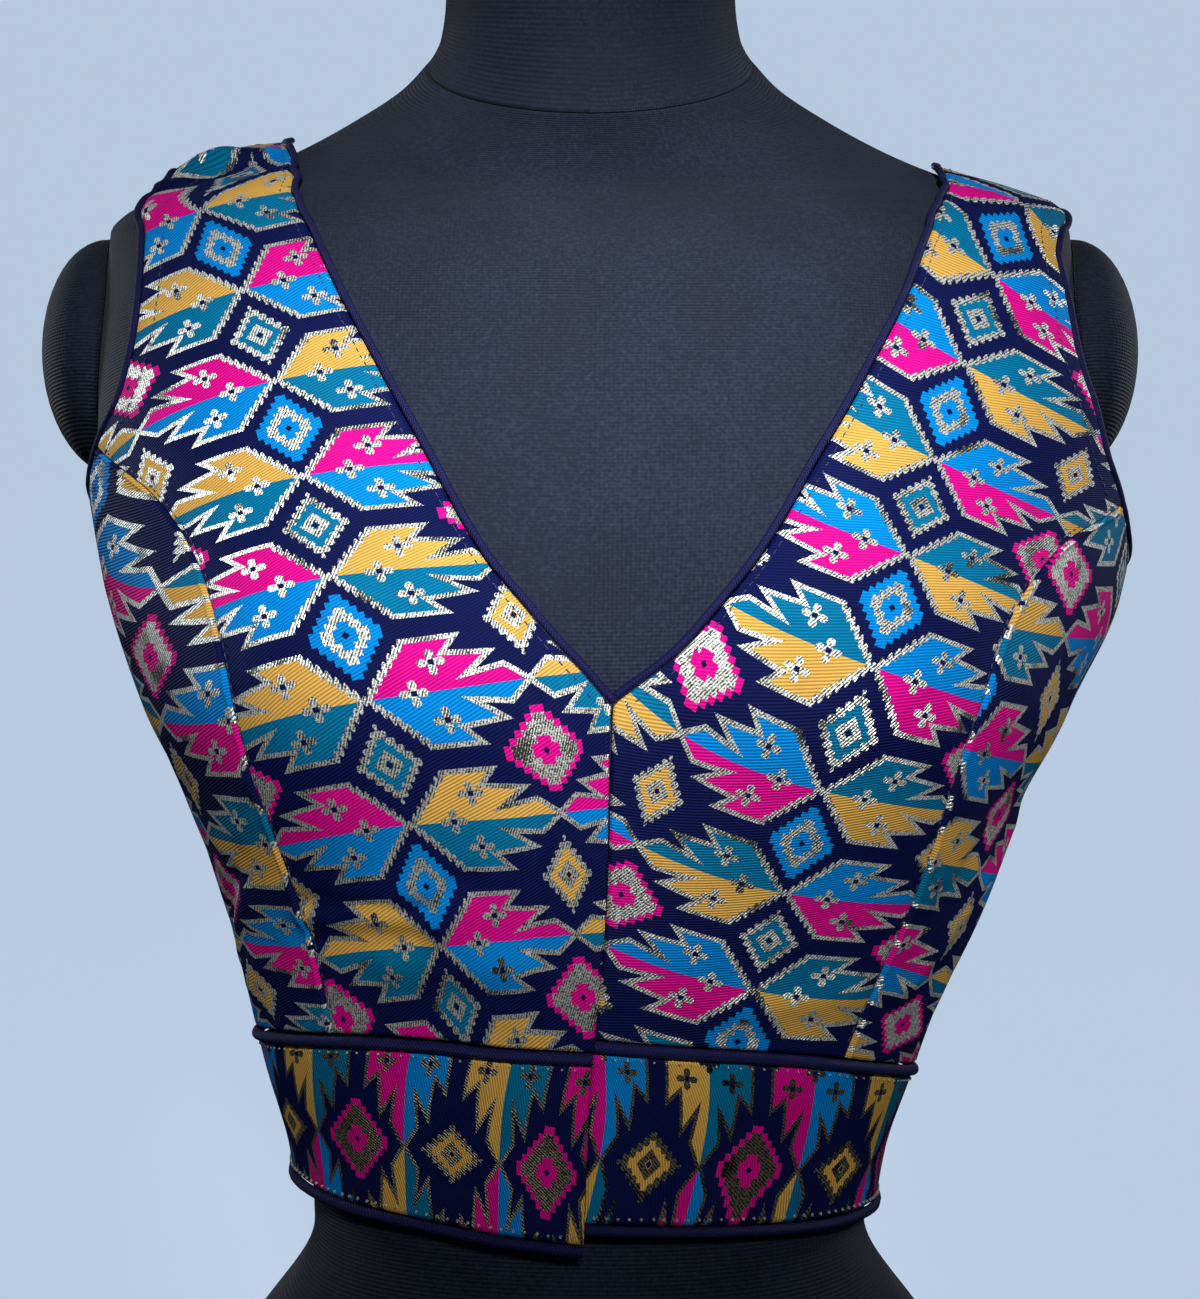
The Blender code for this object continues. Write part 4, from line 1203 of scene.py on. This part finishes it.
def grain_place(panel, places):
    """Place on the cloth's repeat, in mm across and up its grain."""
    grain = GRAINS[panel]
    angle, height = places[..., 0].ravel(), places[..., 1].ravel()
    shares = np.linspace(0, 1, GRAIN_STEPS)[:, None]
    across_line = figure_point(grain.angle + (angle - grain.angle) * shares, height + 0 * shares)
    along = np.linalg.norm(np.diff(across_line, axis=0), axis=-1).sum(axis=0)
    along = along * np.sign(angle - grain.angle)
    lengths = reach_along(figure_point(np.full(len(GRAIN_HEIGHTS), float(grain.angle)),
                                       GRAIN_HEIGHTS))
    up = np.interp(height, GRAIN_HEIGHTS, lengths) \
        - np.interp(grain.height, GRAIN_HEIGHTS, lengths)
    away = np.abs(signed(angle))
    shoulder = eased((away - SHOULDER_FROM) / SHOULDER_FADE) \
        * eased((SHOULDER_TO - away) / SHOULDER_FADE)
    up = up + SHOULDER_CLOTH * shoulder * np.maximum(height - SHOULDER_HEIGHT, 0)
    out = []
    for k in (grain.across, grain.up):
        out.append(k.start + k.round * along + k.up * up + k.round_round * along**2 / BEND
                   + k.round_up * along * up / BEND + k.up_up * up**2 / BEND
                   + k.up_up_up * up**3 / BEND**2 + k.round_up_up * along * up**2 / BEND**2)
    return np.stack(out, axis=-1)


def edge_relief(away, along, welted, seed):
    """Height over the cloth's face beside an edge: it rolls off, and a seam gathers it."""
    cloth = settings("cloth")
    relief = -in_mm(cloth.edge_drop) * (1 - eased(away / in_mm(cloth.edge_roll)))
    if welted:
        middle = away / in_mm(cloth.welt_width)
        relief = relief + in_mm(cloth.welt_rise) \
            * np.exp(-((middle - WELT_MIDDLE) / WELT_HALF) ** 2) \
            * (1 + WELT_UNEVEN * wobble(along, seed))
    gather = np.exp(-away / GATHER_TO) * (1 - np.exp(-away / GATHER_FROM))
    return relief + in_mm(cloth.pucker) * gather * wobble(along, seed) * GATHER_SHARE


def wall_relief(grid, seeds, welt=None, joined=(0.0, 0.0)):
    """Height over the cloth's face beside the low, high, bottom and top edges of a wall.

    welt is the number of the edge that has a welt. joined is added to the distance from
    the low and the high edge, where that edge is joined to another wall.
    """
    flat = on_figure(grid)
    across, upward = grid_reach(flat, 1), grid_reach(flat, 0)
    away = (across + joined[0], across[:, -1:] - across + joined[1],
            upward, upward[-1:] - upward)
    along = (upward, upward, across, across)
    relief = sum(edge_relief(away[k], along[k], k == welt, seeds[k]) for k in range(4))
    return np.maximum(relief, -in_mm(settings("cloth").edge_drop))


def wall_points(grid, relief, raised=0.0, lap=0.0):
    """Outer and inner points of a wall of cloth."""
    inner_face = in_mm(settings("cloth").inner_face)
    return [cloth_point(grid[..., 0], grid[..., 1], outside, lap).reshape(-1, 3)
            for outside in (raised + WALL + relief, raised + inner_face)]


def add_wall(name, grid, place, finishes, lap=0.0, lift=no_lift, seed=0.0, welt=None):
    """Closed shell of cloth, with the second finish, if there is one, for its lining."""
    raised = lift(grid[..., 0], grid[..., 1])
    relief = wall_relief(grid, [seed + EDGE_SEED * k for k in range(4)], welt)
    outside, lining = shell_faces(*grid.shape[:2])
    return add_piece(name, np.concatenate(wall_points(grid, relief, raised, lap)),
                     outside + lining, np.concatenate([place, place]), finishes,
                     [0] * len(outside) + [len(finishes) - 1] * len(lining))


def tube_points(path, size, out, across, sides):
    """Points of a round tube along a path, and the turns of its sides."""
    turns = np.arange(sides) * 2 * math.pi / sides
    ring = (np.cos(turns)[None, :, None] * out[:, None]
            + np.sin(turns)[None, :, None] * across[:, None])
    return (path[:, None] + size[:, None, None] * ring).reshape(-1, 3), turns


def tube_faces(rings, sides, first=0, closed=False):
    """Faces of a tube, with a face at each end unless it runs in a loop."""
    faces = []
    for r in range(rings if closed else rings - 1):
        low, high = r * sides, (r + 1) % rings * sides
        for c in range(sides):
            d = (c + 1) % sides
            faces.append((low + c, low + d, high + d, high + c))
    if not closed:
        last = (rings - 1) * sides
        faces += [tuple(reversed(range(sides))), tuple(range(last, last + sides))]
    return [tuple(first + i for i in face) for face in faces]


def cloth_line(line, outside, lap, lift):
    """Points of a line at a distance from the cloth's inner face, and outward steps of 1 mm."""
    angle, height = line[:, 0], line[:, 1]
    raised = lift(angle, height) + outside
    points = cloth_point(angle, height, raised, lap)
    return points, cloth_point(angle, height, raised + 1.0, lap) - points


def add_cord(name, node, line, radius, aside, lap=0.0, lift=no_lift, closed=False, seed=0.0):
    """Piping cord along a panel's edge, a seam's gap off it."""
    inner, out = cloth_line(line, 0.0, lap, lift)
    if closed:
        ahead = unit(np.roll(inner, -1, axis=0) - np.roll(inner, 1, axis=0))
    else:
        ahead = unit(np.gradient(inner, axis=0))
    across = np.cross(ahead, out)
    length = reach_along(inner)
    size = radius * (CORD_SIZE + CORD_UNEVEN * wobble(length, seed))
    path = inner + out * radius + unit(across * aside) * (radius + SEAM_GAP)
    points, turns = tube_points(path, size, out, across, CORD_SIDES)
    uv = flat_pairs(length[:, None], (np.abs(turns - math.pi) * radius)[None, :])
    faces = tube_faces(len(path), CORD_SIDES, closed=closed)
    return finished(add_piece(name, points, faces, uv, ("piping",)), node)


def beside(line, distance):
    """Line on the cloth at a distance to the left of another, looking along it from outside."""
    angle, height = line[:, 0], line[:, 1]
    slopes_on = [moved / (2 * SLOPE_STEP) for moved in figure_steps(angle, height, SLOPE_STEP)]
    aside = np.cross(figure_normal(angle, height), np.gradient(on_figure(line), axis=0))
    aside *= distance / np.linalg.norm(aside, axis=1, keepdims=True)
    return line + np.array([np.linalg.lstsq(np.stack([a, h], axis=1), w, rcond=None)[0]
                            for a, h, w in zip(*slopes_on, aside)])


def add_stitches(name, line, lap, lift, seed, finish="thread", sizes=None):
    """Row of stitches along a line on the cloth's face, each dipping in at its ends.

    sizes are the stitch's length, the gap after it and its thickness, in mm.
    """
    cloth = settings("cloth")
    length, gap, thick = sizes or [in_mm(size) for size in (
        cloth.stitch_length, cloth.stitch_gap, cloth.thread)]
    radius = thick / 2
    face, out = cloth_line(line, WALL, lap, lift)
    reach = reach_along(face)
    uneven = np.random.default_rng(seed)
    starts = np.arange(STITCH_START, reach[-1] - length, length + gap)
    starts = starts + uneven.uniform(-UNEVEN_START, UNEVEN_START, len(starts)) * gap
    share = np.linspace(0, 1, STITCH_RINGS)
    bow = radius * (BOW_RISE * np.sin(math.pi * share) ** BOW_POWER - BOW_DIP)
    size = radius * (STITCH_END + STITCH_SWELL * np.sin(math.pi * share))
    points, faces, uv = [], [], []
    for k, start in enumerate(starts):
        at = start + length * share
        path, up = [np.stack([np.interp(at, reach, values[:, i]) for i in range(3)], axis=1)
                    for values in (face, out)]
        path = path + up * bow[:, None]
        across = np.cross(unit(np.gradient(path, axis=0)), up)
        path = path + across * uneven.uniform(-UNEVEN_ASIDE, UNEVEN_ASIDE)
        tube, turns = tube_points(path, size, up, across, STITCH_SIDES)
        points.append(tube)
        uv.append(flat_pairs(at[:, None], turns[None] * radius))
        faces += tube_faces(STITCH_RINGS, STITCH_SIDES, k * STITCH_RINGS * STITCH_SIDES)
    made = add_piece(name, np.concatenate(points), faces, np.concatenate(uv), (finish,))
    return made


# ---------------------------------------------------------------- panels
def side_name(side):
    """The wearer's side, as the pieces' names have it."""
    return "right" if side == RIGHT else "left"


def over(side):
    """The right front laps over the left one: its lap and its lift."""
    return (1.0, lap_lift) if side == RIGHT else (0.0, no_lift)


def fine_rows(count, split, per_row):
    """Row numbers from 0 to count in steps of 1 / per_row, with close ones at both ends."""
    rows = np.linspace(0, count, count * per_row + 1)
    return np.unique(np.round(np.concatenate([rows, NEAR_ROWS, count - NEAR_ROWS * 3, [split]]),
                              6))


def side_foot(angle):
    """Place at a panel's lower edge."""
    return [angle, panel_foot(angle)]


def front_edges(rows):
    """Centre edge with the neck, and princess edge with the armhole, at numbered rows."""
    inner = two_part(rows, CENTRE_FRONT_ROWS, ([CENTRE_EDGE, panel_foot(0)], NECK_FRONT[0]),
                     NECK_FRONT)
    outer = two_part(rows, PRINCESS_ROWS, PRINCESS, ARMHOLE_FRONT)
    rise = panel_foot(outer[0, 0]) - outer[0, 1]
    outer[:, 1] += rise * np.clip(1 - rows, 0, 1)
    return inner, outer


def back_edges(rows):
    """Side seam with the armhole, and centre back with the neck, at numbered rows."""
    outer = two_part(rows, PRINCESS_ROWS, (side_foot(SIDE_SEAM), UNDERARM[-1]), ARMHOLE_BACK)
    inner = two_part(rows, BACK_LOW_ROWS, (side_foot(180), NECK_BACK[0]), NECK_BACK)
    return outer, inner


def seam_drawn_in(rows, line, partner):
    """Edge with its seamed part, below the armhole, drawn in for the seam's gap."""
    seam = rows <= PRINCESS_ROWS
    line[seam] = drawn_in(line[seam], partner[seam])
    return line


def panel_grid(rows, low, high, top, u, side=LEFT):
    """Grid of a panel's places, from its foot at the waist seam to its top."""
    bottom = foot_line(low[0, 0], high[0, 0], u)
    return for_side(patch(low, high, bottom, top, u, rows / rows[-1]), side)


def build_front_centre(side):
    """Front from the centre edge to the princess seam, with its strap."""
    rows = fine_rows(CENTRE_FRONT_ROWS + NECK_ROWS, PRINCESS_ROWS, CENTRE_PER_ROW)
    inner, outer = front_edges(rows)
    outer = seam_drawn_in(rows, outer, inner)
    u = crowded(CENTRE_WIDTH, in_mm(settings("cloth").step))
    grid = panel_grid(rows, inner, outer, straight(inner[-1], outer[-1], u), u, side)
    name = "center_" + side_name(side)
    made = add_wall("cloth_front_" + name, grid, grain_place(name, grid), BROCADE, *over(side),
                    seed=side * 2.0)
    return finished(made, "front_" + name)


def build_front_side(side):
    """Front from the princess seam, which has its welt, to the side seam."""
    rows = fine_rows(PRINCESS_ROWS, PRINCESS_ROWS, SIDE_PER_ROW)
    princess = front_edges(np.append(rows, PRINCESS_ROWS + ARMHOLE_ROWS))[1][:len(rows)]
    u = crowded(SIDE_WIDTH, in_mm(settings("cloth").step))
    top = edge(UNDERARM, u)
    seam = straight(side_foot(SIDE_SEAM), top[-1], rows / rows[-1])
    inner, outer = drawn_in(princess, seam), drawn_in(seam, princess)
    top[0], top[-1] = inner[-1], outer[-1]
    grid = panel_grid(rows, inner, outer, top, u, side)
    name = "side_" + side_name(side)
    made = add_wall("cloth_front_" + name, grid, grain_place(name, grid), BROCADE,
                    over(side)[0], seed=3.0 + side, welt=0 if side == LEFT else 1)
    return finished(made, "front_" + name)


def build_back():
    """Back in two halves that are joined below the neck, where neither has a rim."""
    rows = fine_rows(PRINCESS_ROWS + BACK_ARMHOLE_ROWS, PRINCESS_ROWS, BACK_PER_ROW)
    rows = np.unique(np.append(rows, BACK_LOW_ROWS))
    outer, inner = back_edges(rows)
    outer = seam_drawn_in(rows, outer, inner)
    u = crowded(BACK_WIDTH, BACK_STEP)
    left = panel_grid(rows, outer, inner, straight(outer[-1], inner[-1], u), u)
    low = int(np.searchsorted(rows, BACK_LOW_ROWS))
    joined = NO_EDGE * np.clip(BACK_LOW_ROWS - rows, 0, 1)[:, None]
    points, places, faces, finish = [], [], [], []
    halves = ((left, (0.0, joined), (0, low)),
              (mirrored(left)[:, ::-1], (joined, 0.0), (low, 0)))
    for k, (grid, joins, rim_from) in enumerate(halves):
        points += wall_points(grid, wall_relief(grid, BACK_SEEDS[k], joined=joins))
        outside, lining = shell_faces(*grid.shape[:2], k * grid.size, *rim_from)
        faces += outside + lining
        finish += [0] * len(outside) + [1] * len(lining)
        places += [grain_place("back", grid)] * 2
    made = add_piece("cloth_back", np.concatenate(points), faces, np.concatenate(places),
                     BROCADE, finish)
    work = bmesh.new()
    work.from_mesh(made.data)
    bmesh.ops.remove_doubles(work, verts=work.verts, dist=JOIN_WITHIN * MM)
    work.to_mesh(made.data)
    work.free()
    return finished(made, "back")


def band_lines(start, end, shares):
    """Angles and the low and high edges of a length of the waistband."""
    angles = start + (end - start) * shares
    low = band_height("hem", angles) + 2 * HEM_CORD + SEAM_GAP
    high = band_height("seam", angles) - WAIST_CORD - SEAM_GAP
    return angles, low, high


def build_band(part, start, end, side, panel):
    """Length of the waistband, with its brocade turned a quarter and its metal thread painted
    darker, as shade.
    """
    step = in_mm(settings("cloth").step)
    v = crowded(BAND_DEPTH, step)[:, None]
    angles, low, high = band_lines(start, end, crowded((end - start) * DEGREE_LENGTH, step))
    heights = low[None] * (1 - v) + high[None] * v
    grid = np.stack(np.broadcast_arrays(angles[None], heights), axis=-1)
    made = add_wall("cloth_waistband_" + part, grid, grain_place(panel, grid), SHADED_TURNED_BROCADE,
                    *over(side), seed=9.0 + side)
    return finished(made, "waistband_" + part)


def build_placket():
    """Strip under the right front's edge, which carries the eyes of the real blouse."""
    low = band_height("hem", 0) + 2 * HEM_CORD + SEAM_GAP
    heights = np.linspace(low, NECK_FRONT[0].height - PLACKET_BELOW_NECK, PLACKET_ROWS)
    width = np.degrees(PLACKET_WIDTH / figure_size(heights, "half_width"))
    angles = -CENTRE_EDGE - width[:, None] * np.linspace(1, 0, PLACKET_COLUMNS)[None, :]
    grid = np.stack(np.broadcast_arrays(angles, heights[:, None]), axis=-1)
    place = flat_pairs(angles * DEGREE_LENGTH, heights[:, None])
    made = add_wall("cloth_eye_placket", grid, place, ("placket",))
    return finished(made, "eye_placket_left")


# ---------------------------------------------------------------- piping and stitching
def neck_line(count):
    """Front neck edge of the left side, from the centre up."""
    return edge(NECK_FRONT, np.linspace(0, 1, count))


def back_neck_line(count):
    """Back neck edge, from the right shoulder round to the left one."""
    half = edge(NECK_BACK, np.linspace(0, 1, count))
    return np.concatenate([half[::-1], mirrored(half)[1:]])


def armhole_loop():
    """The left armhole, all round."""
    under = edge(UNDERARM, np.linspace(0, 1, UNDERARM_POINTS))[::-1]
    front = edge(ARMHOLE_FRONT, np.linspace(0, 1, ARMHOLE_POINTS))
    back = edge(ARMHOLE_BACK, np.linspace(0, 1, ARMHOLE_POINTS))[::-1]
    return np.concatenate([under, front[1:], back[:-1]])


def build_piping():
    """Cords at the neck, the armholes, the waist seam and the hem."""
    for side in (RIGHT, LEFT):
        name = side_name(side)
        line = for_side(neck_line(NECK_POINTS), side)
        add_cord("cord_neck_front_" + name, "neck_piping_front_" + name,
                 line[1:] if side == LEFT else line, NECK_CORD, -side, *over(side), seed=side)
        add_cord("cord_armhole_" + name, "armhole_piping_" + name,
                 for_side(armhole_loop(), side), ARMHOLE_CORD, side,
                 closed=True, seed=2 + side)
    add_cord("cord_neck_back", "neck_piping_back", back_neck_line(BACK_NECK_POINTS),
             NECK_CORD, -1, seed=5)
    for part, start, end, side, _ in BAND_PARTS:
        shares = np.linspace(0, 1, round((end - start) * BAND_POINTS))
        angles, low, high = band_lines(start, end, shares)
        for name, heights, radius, aside in (("waist", high, WAIST_CORD, -1),
                                             ("hem", low, HEM_CORD, 1)):
            add_cord(f"cord_{name}_{part}", f"{name}_piping_{part}",
                     np.stack([angles, heights], axis=1), radius, aside, *over(side),
                     seed=7 + side + radius)


def build_stitching():
    """Machine stitches beside the armholes, the neck, the princess seams and the band."""
    for side in (RIGHT, LEFT):
        lap, lift = over(side)
        for name, line, distance, rise, seed in (
                ("armhole_front", edge(ARMHOLE_FRONT, np.linspace(*ARMHOLE_SEWN, STITCH_POINTS)),
                 ARMHOLE_STITCHES, lift, 1),
                ("neck_front", neck_line(NECK_SEWN_POINTS)[NECK_SEWN], NECK_STITCHES, lift, 3),
                ("princess", edge(PRINCESS, np.linspace(*PRINCESS_SEWN, STITCH_POINTS)),
                 PRINCESS_STITCHES, no_lift, 5)):
            add_stitches(f"stitches_{name}_{side_name(side)}",
                         beside(for_side(line, side), side * distance), lap, rise, seed)
    for part, start, end, side, _ in BAND_PARTS:
        angles, low, high = band_lines(start, end, np.linspace(*BAND_SEWN, 2 * STITCH_POINTS))
        for name, heights, sizes, seed in (("hem", low + HEM_ROW, HEM_STITCH, 7),
                                           ("waist", high - WAIST_ROW, WAIST_STITCH, 8)):
            add_stitches(f"stitches_{name}_{part}", np.stack([angles, heights], axis=1),
                         *over(side), seed, "pale_thread", sizes)


# ---------------------------------------------------------------- the dress form
def add_form_piece(name, node, points, uv, hubs=(), flip=False):
    """Piece of the form from rings of points; each hub closes the first or the last ring.

    A hub has its point, its place in the UV layer, and whether it is at the last ring.
    """
    rings, around = points.shape[:2]
    faces = grid_faces(rings, around, flip=flip)
    flat, uv = points.reshape(-1, 3), uv.reshape(-1, 2)
    for point, place, at_last in hubs:
        first = (rings - 1) * around if at_last else 0
        pairs = [(first + c, first + c + 1) for c in range(around - 1)]
        faces += [(len(flat), *(pair if at_last else pair[::-1])) for pair in pairs]
        flat, uv = np.concatenate([flat, [point]]), np.concatenate([uv, [place]])
    return finished(add_piece(name, flat, faces, uv, ("jersey",)), node)


def build_torso():
    """Torso with shallow grooves at its centre front and its waist."""
    top = FIGURE[-1].height
    heights = np.concatenate([np.linspace(0, SHOULDER_ROWS_FROM, TORSO_ROWS)[:-1],
                              np.linspace(SHOULDER_ROWS_FROM, top, SHOULDER_ROWS)])
    angle, height = np.meshgrid(np.linspace(0, 360, TORSO_SIDES + 1), heights)
    centre = np.exp(-(signed(angle) * CENTRE_DEGREE / CENTRE_GROOVE) ** 2)
    waist = np.exp(-((height - WAIST_HEIGHT) / WAIST_GROOVE) ** 2)
    points = off_figure(angle, height, -CENTRE_DEPTH * centre - WAIST_DEPTH * waist)
    uv = np.stack([np.radians(angle) * JERSEY_RADIUS, height], axis=-1)
    add_form_piece("form_body", "form_torso", points, uv,
                   [(points[0, :-1].mean(axis=0), [0, 0], False),
                    ([0, 0, top - HUB_DEPTH], [0, top], True)])


def build_neck():
    """Neck with a rounded foot, and a flat top with a rounded rim."""
    turns = np.radians(np.linspace(0, 360, NECK_SIDES + 1))
    rings = []
    for rise in NECK_RISES:
        row = {name: neck_size(rise, name) for name in NeckRow._fields[1:]}
        depth = np.where(np.cos(turns) > 0, row["front"], row["back"])
        x, y = row["half_width"] * np.sin(turns), -depth * np.cos(turns)
        z = FIGURE[-1].height + rise + row["tilt"] * levelled(y)
        rings.append(np.stack([x, y, z], axis=-1))
    points = np.stack(rings)
    uv = np.stack(np.broadcast_arrays(grid_reach(points, 1), NECK_RISES[:, None]), axis=-1)
    add_form_piece("form_neck_cover", "form_neck", points, uv,
                   [(points[-1, :-1].mean(axis=0), [0, NECK_RISES[-1]], True),
                    ([0, 0, FIGURE[-1].height + HUB_DEPTH], [0, 0], False)])


def build_cap(side):
    """Domed cap over the end of a shoulder."""
    turns = np.linspace(0, 2 * math.pi, CAP_SIDES + 1)
    spreads = np.sin(np.linspace(CAP_EYE, math.pi / 2, CAP_RINGS))
    dome = REST_GAP + CAP_RIM + CAP_BULGE * np.sqrt(1 - spreads**2)
    points = []
    for spread, distance in [(spread, REST_GAP) for spread in spreads] \
            + list(zip(spreads[::-1], dome[::-1])):
        angle = CAP_ANGLE + CAP_HALF_TURN * spread * np.cos(turns)
        height = CAP_HEIGHT + CAP_HALF_HEIGHT * spread * np.sin(turns)
        points.append(off_figure(side * angle, height, np.full(CAP_SIDES + 1, distance)))
    points = np.stack(points)
    name = side_name(side)
    add_form_piece("form_cap_cover_" + name, "form_cap_" + name, points, points[..., 1:],
                   flip=side == RIGHT)


# ---------------------------------------------------------------- stage
def build_stage():
    """Pale sweep all round, a large soft key light, two fills, a back light and the camera."""
    stage = settings("stage")
    bend = np.linspace(BEND_FROM, math.pi / 2, BEND_ROWS)
    profile = [(r, 0.0) for r in (*SWEEP_INNER, SWEEP_FLOOR)]
    profile += [(SWEEP_FLOOR + SWEEP_BEND * math.sin(t), SWEEP_BEND - SWEEP_BEND * math.cos(t))
                for t in bend]
    profile += [(SWEEP_FLOOR + SWEEP_BEND, z) for z in SWEEP_UPRIGHT]
    turns = np.linspace(0, 2 * math.pi, SWEEP_SIDES + 1)
    rings = np.array([[(r * math.cos(t), r * math.sin(t), z) for t in turns] for r, z in profile])
    points = rings.reshape(-1, 3) * METRE
    points[:, 2] -= FLOOR_GAP
    made = add_piece("floor", points, grid_faces(len(profile), SWEEP_SIDES + 1), points[:, :2],
                     ("floor",), stage=True)
    made.visible_diffuse = made.visible_glossy = False

    world = bpy.data.worlds.new("studio")
    world.use_nodes = True
    back = world.node_tree.nodes["Background"]
    facing = add_node(world.node_tree, "ShaderNodeTexCoord")
    height = add_node(world.node_tree, "ShaderNodeSeparateXYZ", None, {0: facing}, 2)
    fill_socket(back.inputs["Color"], blend((height * SKY_RISE + SKY_LEVEL).most(0.0).least(1.0),
                                            rgba(SKY_LOW), rgba(SKY_HIGH)))
    fill_socket(back.inputs["Strength"], stage.sky)
    bpy.context.scene.world = world
    bpy.context.scene.view_settings.view_transform = "Standard"

    for row in LIGHTS:
        light = bpy.data.lights.new(row.name, "AREA")
        light.shape, light.size, light.color = "DISK", row.size, row.tint
        light.energy = getattr(stage, row.power) * row.share
        light.spread = math.radians(row.spread)
        holder = add_object(row.name, light)
        holder.location = row.place
        ahead = np.array(row.aim) - np.array(row.place)
        holder.rotation_euler = (math.atan2(math.hypot(ahead[0], ahead[1]), -ahead[2]), 0,
                                 math.atan2(ahead[1], ahead[0]) - math.pi / 2)

    lens = bpy.data.cameras.new("camera")
    lens.lens, lens.sensor_width, lens.sensor_fit = stage.lens, SENSOR, "HORIZONTAL"
    lens.clip_start, lens.clip_end = CAMERA_REACH
    holder = add_object("camera", lens)
    holder.location = CAMERA_PLACE
    holder.rotation_euler = (math.radians(CAMERA_TILT), 0, 0)
    bpy.context.scene.camera = holder


# ---------------------------------------------------------------- operators
class CHOLI_OT_form(bpy.types.Operator):
    """Dresses the torso, the neck and the two arm caps in ribbed jersey"""
    bl_idname = "choli.form"
    bl_label = "Dress form"

    def execute(self, context):
        build_torso()
        build_neck()
        for side in (RIGHT, LEFT):
            build_cap(side)
        return {"FINISHED"}


class CHOLI_OT_fronts(bpy.types.Operator):
    """Makes the centre and side fronts and the placket under them"""
    bl_idname = "choli.fronts"
    bl_label = "Front panels"

    def execute(self, context):
        for side in (RIGHT, LEFT):
            build_front_centre(side)
            build_front_side(side)
        build_placket()
        return {"FINISHED"}


class CHOLI_OT_back(bpy.types.Operator):
    """Makes the back panel"""
    bl_idname = "choli.back"
    bl_label = "Back panel"

    def execute(self, context):
        build_back()
        return {"FINISHED"}


class CHOLI_OT_waistband(bpy.types.Operator):
    """Makes the three lengths of the waistband"""
    bl_idname = "choli.waistband"
    bl_label = "Waistband"

    def execute(self, context):
        for row in BAND_PARTS:
            build_band(*row)
        return {"FINISHED"}


class CHOLI_OT_piping(bpy.types.Operator):
    """Makes the corded piping at the neck, the armholes, the waist seam and the hem"""
    bl_idname = "choli.piping"
    bl_label = "Piping"

    def execute(self, context):
        build_piping()
        return {"FINISHED"}


class CHOLI_OT_stitching(bpy.types.Operator):
    """Makes the rows of stitches"""
    bl_idname = "choli.stitching"
    bl_label = "Stitching"

    def execute(self, context):
        build_stitching()
        return {"FINISHED"}


class CHOLI_OT_stage(bpy.types.Operator):
    """Makes the floor, the lights and the camera"""
    bl_idname = "choli.stage"
    bl_label = "Stage"

    def execute(self, context):
        build_stage()
        return {"FINISHED"}


OPERATORS = (CHOLI_OT_form, CHOLI_OT_fronts, CHOLI_OT_back, CHOLI_OT_waistband,
             CHOLI_OT_piping, CHOLI_OT_stitching, CHOLI_OT_stage)
SETTINGS = {"cloth": ClothSettings, "brocade": BrocadeSettings, "plain": PlainSettings,
            "stage": StageSettings}


class CHOLI_PT_panel(bpy.types.Panel):
    """The steps that dress the part, in order"""
    bl_label = "Choli blouse"
    bl_space_type = "VIEW_3D"
    bl_region_type = "UI"
    bl_category = "Choli"

    def draw(self, context):
        for step in OPERATORS:
            self.layout.operator(step.bl_idname)
        for name in SETTINGS:
            group = getattr(context.scene, "choli_" + name)
            box = self.layout.box()
            for key in group.bl_rna.properties.keys():
                if key not in ("rna_type", "name"):
                    box.prop(group, key)


def register():
    for name, group in SETTINGS.items():
        bpy.utils.register_class(group)
        setattr(bpy.types.Scene, "choli_" + name, bpy.props.PointerProperty(type=group))
    for kind in (*OPERATORS, CHOLI_PT_panel):
        bpy.utils.register_class(kind)


def unregister():
    for kind in reversed((*OPERATORS, CHOLI_PT_panel)):
        bpy.utils.unregister_class(kind)
    for name, group in SETTINGS.items():
        delattr(bpy.types.Scene, "choli_" + name)
        bpy.utils.unregister_class(group)


def main():
    register()
    for step in OPERATORS:
        family, name = step.bl_idname.split(".")
        getattr(getattr(bpy.ops, family), name)()


if __name__ == "__main__":
    main()
